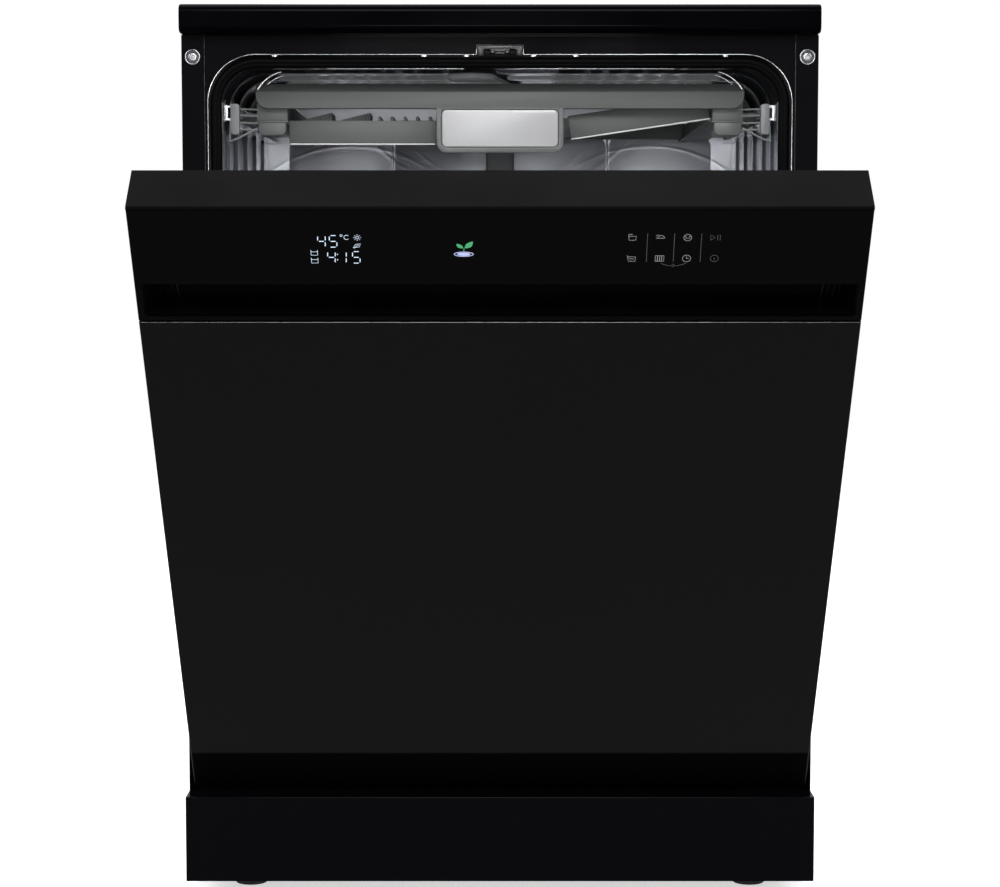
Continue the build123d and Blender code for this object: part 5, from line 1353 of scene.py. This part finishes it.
place(rinseCap(), "rinse", "rinse_aid_cap", "cap_blue", "rinse_aid_cap")
place(sprayArm("top_arm", 780.4, 5.4, -8, 5.0), "arm", "top_spray_arm", "grey_plastic", "top_spray_arm")
place(sprayArm("middle_arm", 440, 9, 35, 4.0), "arm", "middle_spray_arm", "grey_plastic", "middle_spray_arm")
place(sprayArm("lower_arm", 206, 9, -50, 15.0), "arm", "lower_spray_arm", "grey_plastic", "lower_spray_arm")
print("liner, dispenser and arms modelled")


def nodeBox(node):
    points = [v.co for v in cad[node].data.vertices]
    return [(min(p[i] for p in points) / mm, max(p[i] for p in points) / mm) for i in range(3)]


def rearPanel():
    # folded sheet with pressed beads, a louvred field and hexagon screws along its edges
    (x0, x1), (y0, y1), (z0, z1) = nodeBox("back_panel")
    panel = boxMm("rear_panel", x0, x1, y0, y1, z0, z1)
    pieces = [soften(panel, 0.3 * mm)]
    for x in (-170, -60, 60, 170):
        bead = boxMm("bead", x - 7, x + 7, y1 - 0.4, y1 + 1.6, z0 + 70, z1 - 90)
        bevelEdges(bead, alongY, 6.5 * mm, 6)
        pieces.append(soften(bead, 1.2 * mm, 3, 50))
    for i in range(9):
        z = z1 - 62 + i * 5
        louvre = boxMm("louvre", -120, 120, y1 - 0.3, y1 + 1.2, z, z + 2.4)
        pieces.append(soften(louvre, 0.7 * mm, 2))
    spots = [(x, z) for x in (x0 + 9, x1 - 9) for z in spread(z0 + 12, z1 - 12, 6)]
    spots += [(x, z) for x in spread(x0 + 110, x1 - 110, 3) for z in (z0 + 12, z1 - 9)]
    for x, z in spots:
        at = Vector((x, y1, z)) * mm
        washer = addRod("washer", at, at + Vector((0, 0.7 * mm, 0)), 4.6 * mm, 20)
        head = addRod("head", at, at + Vector((0, 3.2 * mm, 0)), 3.4 * mm, 6)
        pieces += [washer, soften(head, 0.3 * mm, 1, 40)]
    return smooth(join("rear_panel", pieces), 35)


def footShape(node):
    # round pad with a grip edge, stem with its thread turns and the hexagon lock nut
    shape = {"pad": 8, "stem": 4.5, "grips": 20, "nut": 8.8, "nutTop": 14, "thread": 4.7, "pitch": 1.6}
    (x0, x1), (y0, y1), (low, high) = nodeBox(node)
    x, y, r = (x0 + x1) / 2, (y0 + y1) / 2, (x1 - x0) / 2
    pad = rodMm("pad", (x, y, low), (x, y, shape["pad"]), r - 0.7, 48)
    soften(pad, 1.2 * mm, 3, 40)
    pieces = [pad, rodMm("stem", (x, y, 6), (x, y, high), shape["stem"])]
    for px, py in circle(x, y, r - 0.9, shape["grips"])[:-1]:
        pieces.append(rodMm("grip", (px, py, 1.2), (px, py, 6.8), 0.85, 8))
    nut = rodMm("nut", (x, y, shape["pad"]), (x, y, shape["nutTop"]), shape["nut"], 6)
    pieces.append(soften(nut, 0.5 * mm, 2, 40))
    turns = []
    for i in range(int((high - 17) / shape["pitch"]) * 10):
        a = math.tau * i / 10
        turns.append((x + shape["thread"] * math.cos(a), y + shape["thread"] * math.sin(a),
                      15 + i / 10 * shape["pitch"]))
    pieces.append(wiresMm("thread", [turns], 0.3))
    return smooth(join(node + "_turned", pieces), 40)


place(rearPanel(), "back", "cabinet", "back_steel", "back_panel")
for node in ("foot_front_left", "foot_front_right", "foot_rear_left", "foot_rear_right"):
    place(footShape(node), "foot", node, "foot_plastic", node)
print("rear panel and feet modelled")


def buildStage():
    stage = {"size": 14.0, "floorTone": (0.86, 0.86, 0.86), "glow": 0.6}
    deselect()
    bpy.ops.mesh.primitive_plane_add(size=stage["size"], location=(0, 0, cadBox[0][2] - 0.0002))
    floor = bpy.context.object
    floor.name = "studio_floor"
    floor.visible_glossy = False
    paint = Paint("studio_floor", stage["floorTone"], 0.8)
    tone = paint.noise(3.0)
    paint.put("Base Color", paint.blendColors(tone, (0.84, 0.84, 0.84), stage["floorTone"]))
    paint.put("Emission Color", (1.0, 1.0, 1.0, 1.0))
    paint.put("Emission Strength", stage["glow"])
    floor.data.materials.append(paint.mat)


def buildWorld():
    # white behind the object, a dimmer tent in all reflections and for its light
    sky = {"white": 1.0, "below": 0.26, "ahead": 0.42, "above": 0.62}
    world = bpy.data.worlds.new("tent")
    bpy.context.scene.world = world
    world.use_nodes = True
    tree = world.node_tree
    shade = tree.nodes["Background"]
    where = tree.nodes.new("ShaderNodeTexCoord")
    split = tree.nodes.new("ShaderNodeSeparateXYZ")
    ramp = tree.nodes.new("ShaderNodeValToRGB")
    path = tree.nodes.new("ShaderNodeLightPath")
    mixer = tree.nodes.new("ShaderNodeMix")
    mixer.data_type = "RGBA"
    half = tree.nodes.new("ShaderNodeMath")
    half.operation = "MULTIPLY_ADD"
    half.inputs[1].default_value = 0.5
    half.inputs[2].default_value = 0.5
    stops = ramp.color_ramp.elements
    stops.new(0.5)
    for stop, at, tone in zip(stops, (0.0, 0.5, 1.0), (sky["below"], sky["ahead"], sky["above"])):
        stop.position = at
        stop.color = (tone, tone, tone * 1.04, 1)
    tree.links.new(where.outputs["Generated"], split.inputs[0])
    tree.links.new(split.outputs["Z"], half.inputs[0])
    tree.links.new(half.outputs[0], ramp.inputs[0])
    tree.links.new(path.outputs["Is Camera Ray"], mixer.inputs[0])
    tree.links.new(ramp.outputs[0], mixer.inputs[6])
    mixer.inputs[7].default_value = (sky["white"], sky["white"], sky["white"], 1)
    tree.links.new(mixer.outputs[2], shade.inputs[0])


def addSoftbox(name, at, aim, size, power, tall=None):
    light = bpy.data.lights.new(name, "AREA")
    light.shape = "RECTANGLE"
    light.size = size
    light.size_y = tall or size
    light.energy = power
    obj = bpy.data.objects.new(name, light)
    bpy.context.collection.objects.link(obj)
    obj.location = at
    obj.rotation_euler = (Vector(aim) - Vector(at)).to_track_quat("-Z", "Y").to_euler()


def buildLights():
    addSoftbox("tub_light", (0, -1.25, 1.3), (0, 0.1, 0.72), 0.8, 10, 0.4)
    addSoftbox("front_light", (0, -2.4, 0.72), (0, 0.3, 0.74), 0.5, 7, 0.34)
    addSoftbox("ceiling_glow", (0, 0.27, 0.7775), (0, 0.27, 0.9), 0.44, 0.05, 0.36)
    addSoftbox("left_light", (-2.3, -1.6, 1.9), (0, 0.1, 0.5), 1.3, 42)
    addSoftbox("right_light", (2.3, -1.4, 1.9), (0, 0.1, 0.5), 1.3, 36)
    addSoftbox("top_light", (0, 0.3, 3.1), (0, 0, 0.4), 2.2, 50)
    addSoftbox("rear_light", (0.4, 2.8, 2.2), (0, 0.4, 0.5), 1.8, 40)


def buildCamera():
    view = {"lens": 93.3, "back": 2.4605, "height": 0.5935, "down": 5.31, "shift": 0.07275}
    data = bpy.data.cameras.new("studio_camera")
    data.lens = view["lens"]
    data.sensor_width = 36
    data.shift_y = view["shift"]
    data.clip_start = 0.05
    camera = bpy.data.objects.new("studio_camera", data)
    bpy.context.collection.objects.link(camera)
    camera.location = (0, -view["back"], view["height"])
    camera.rotation_euler = (math.radians(90 - view["down"]), 0, 0)
    bpy.context.scene.camera = camera
    bpy.context.scene.view_settings.view_transform = "Standard"


buildStage()
buildWorld()
buildLights()
buildCamera()
print("stage, lights and camera set")
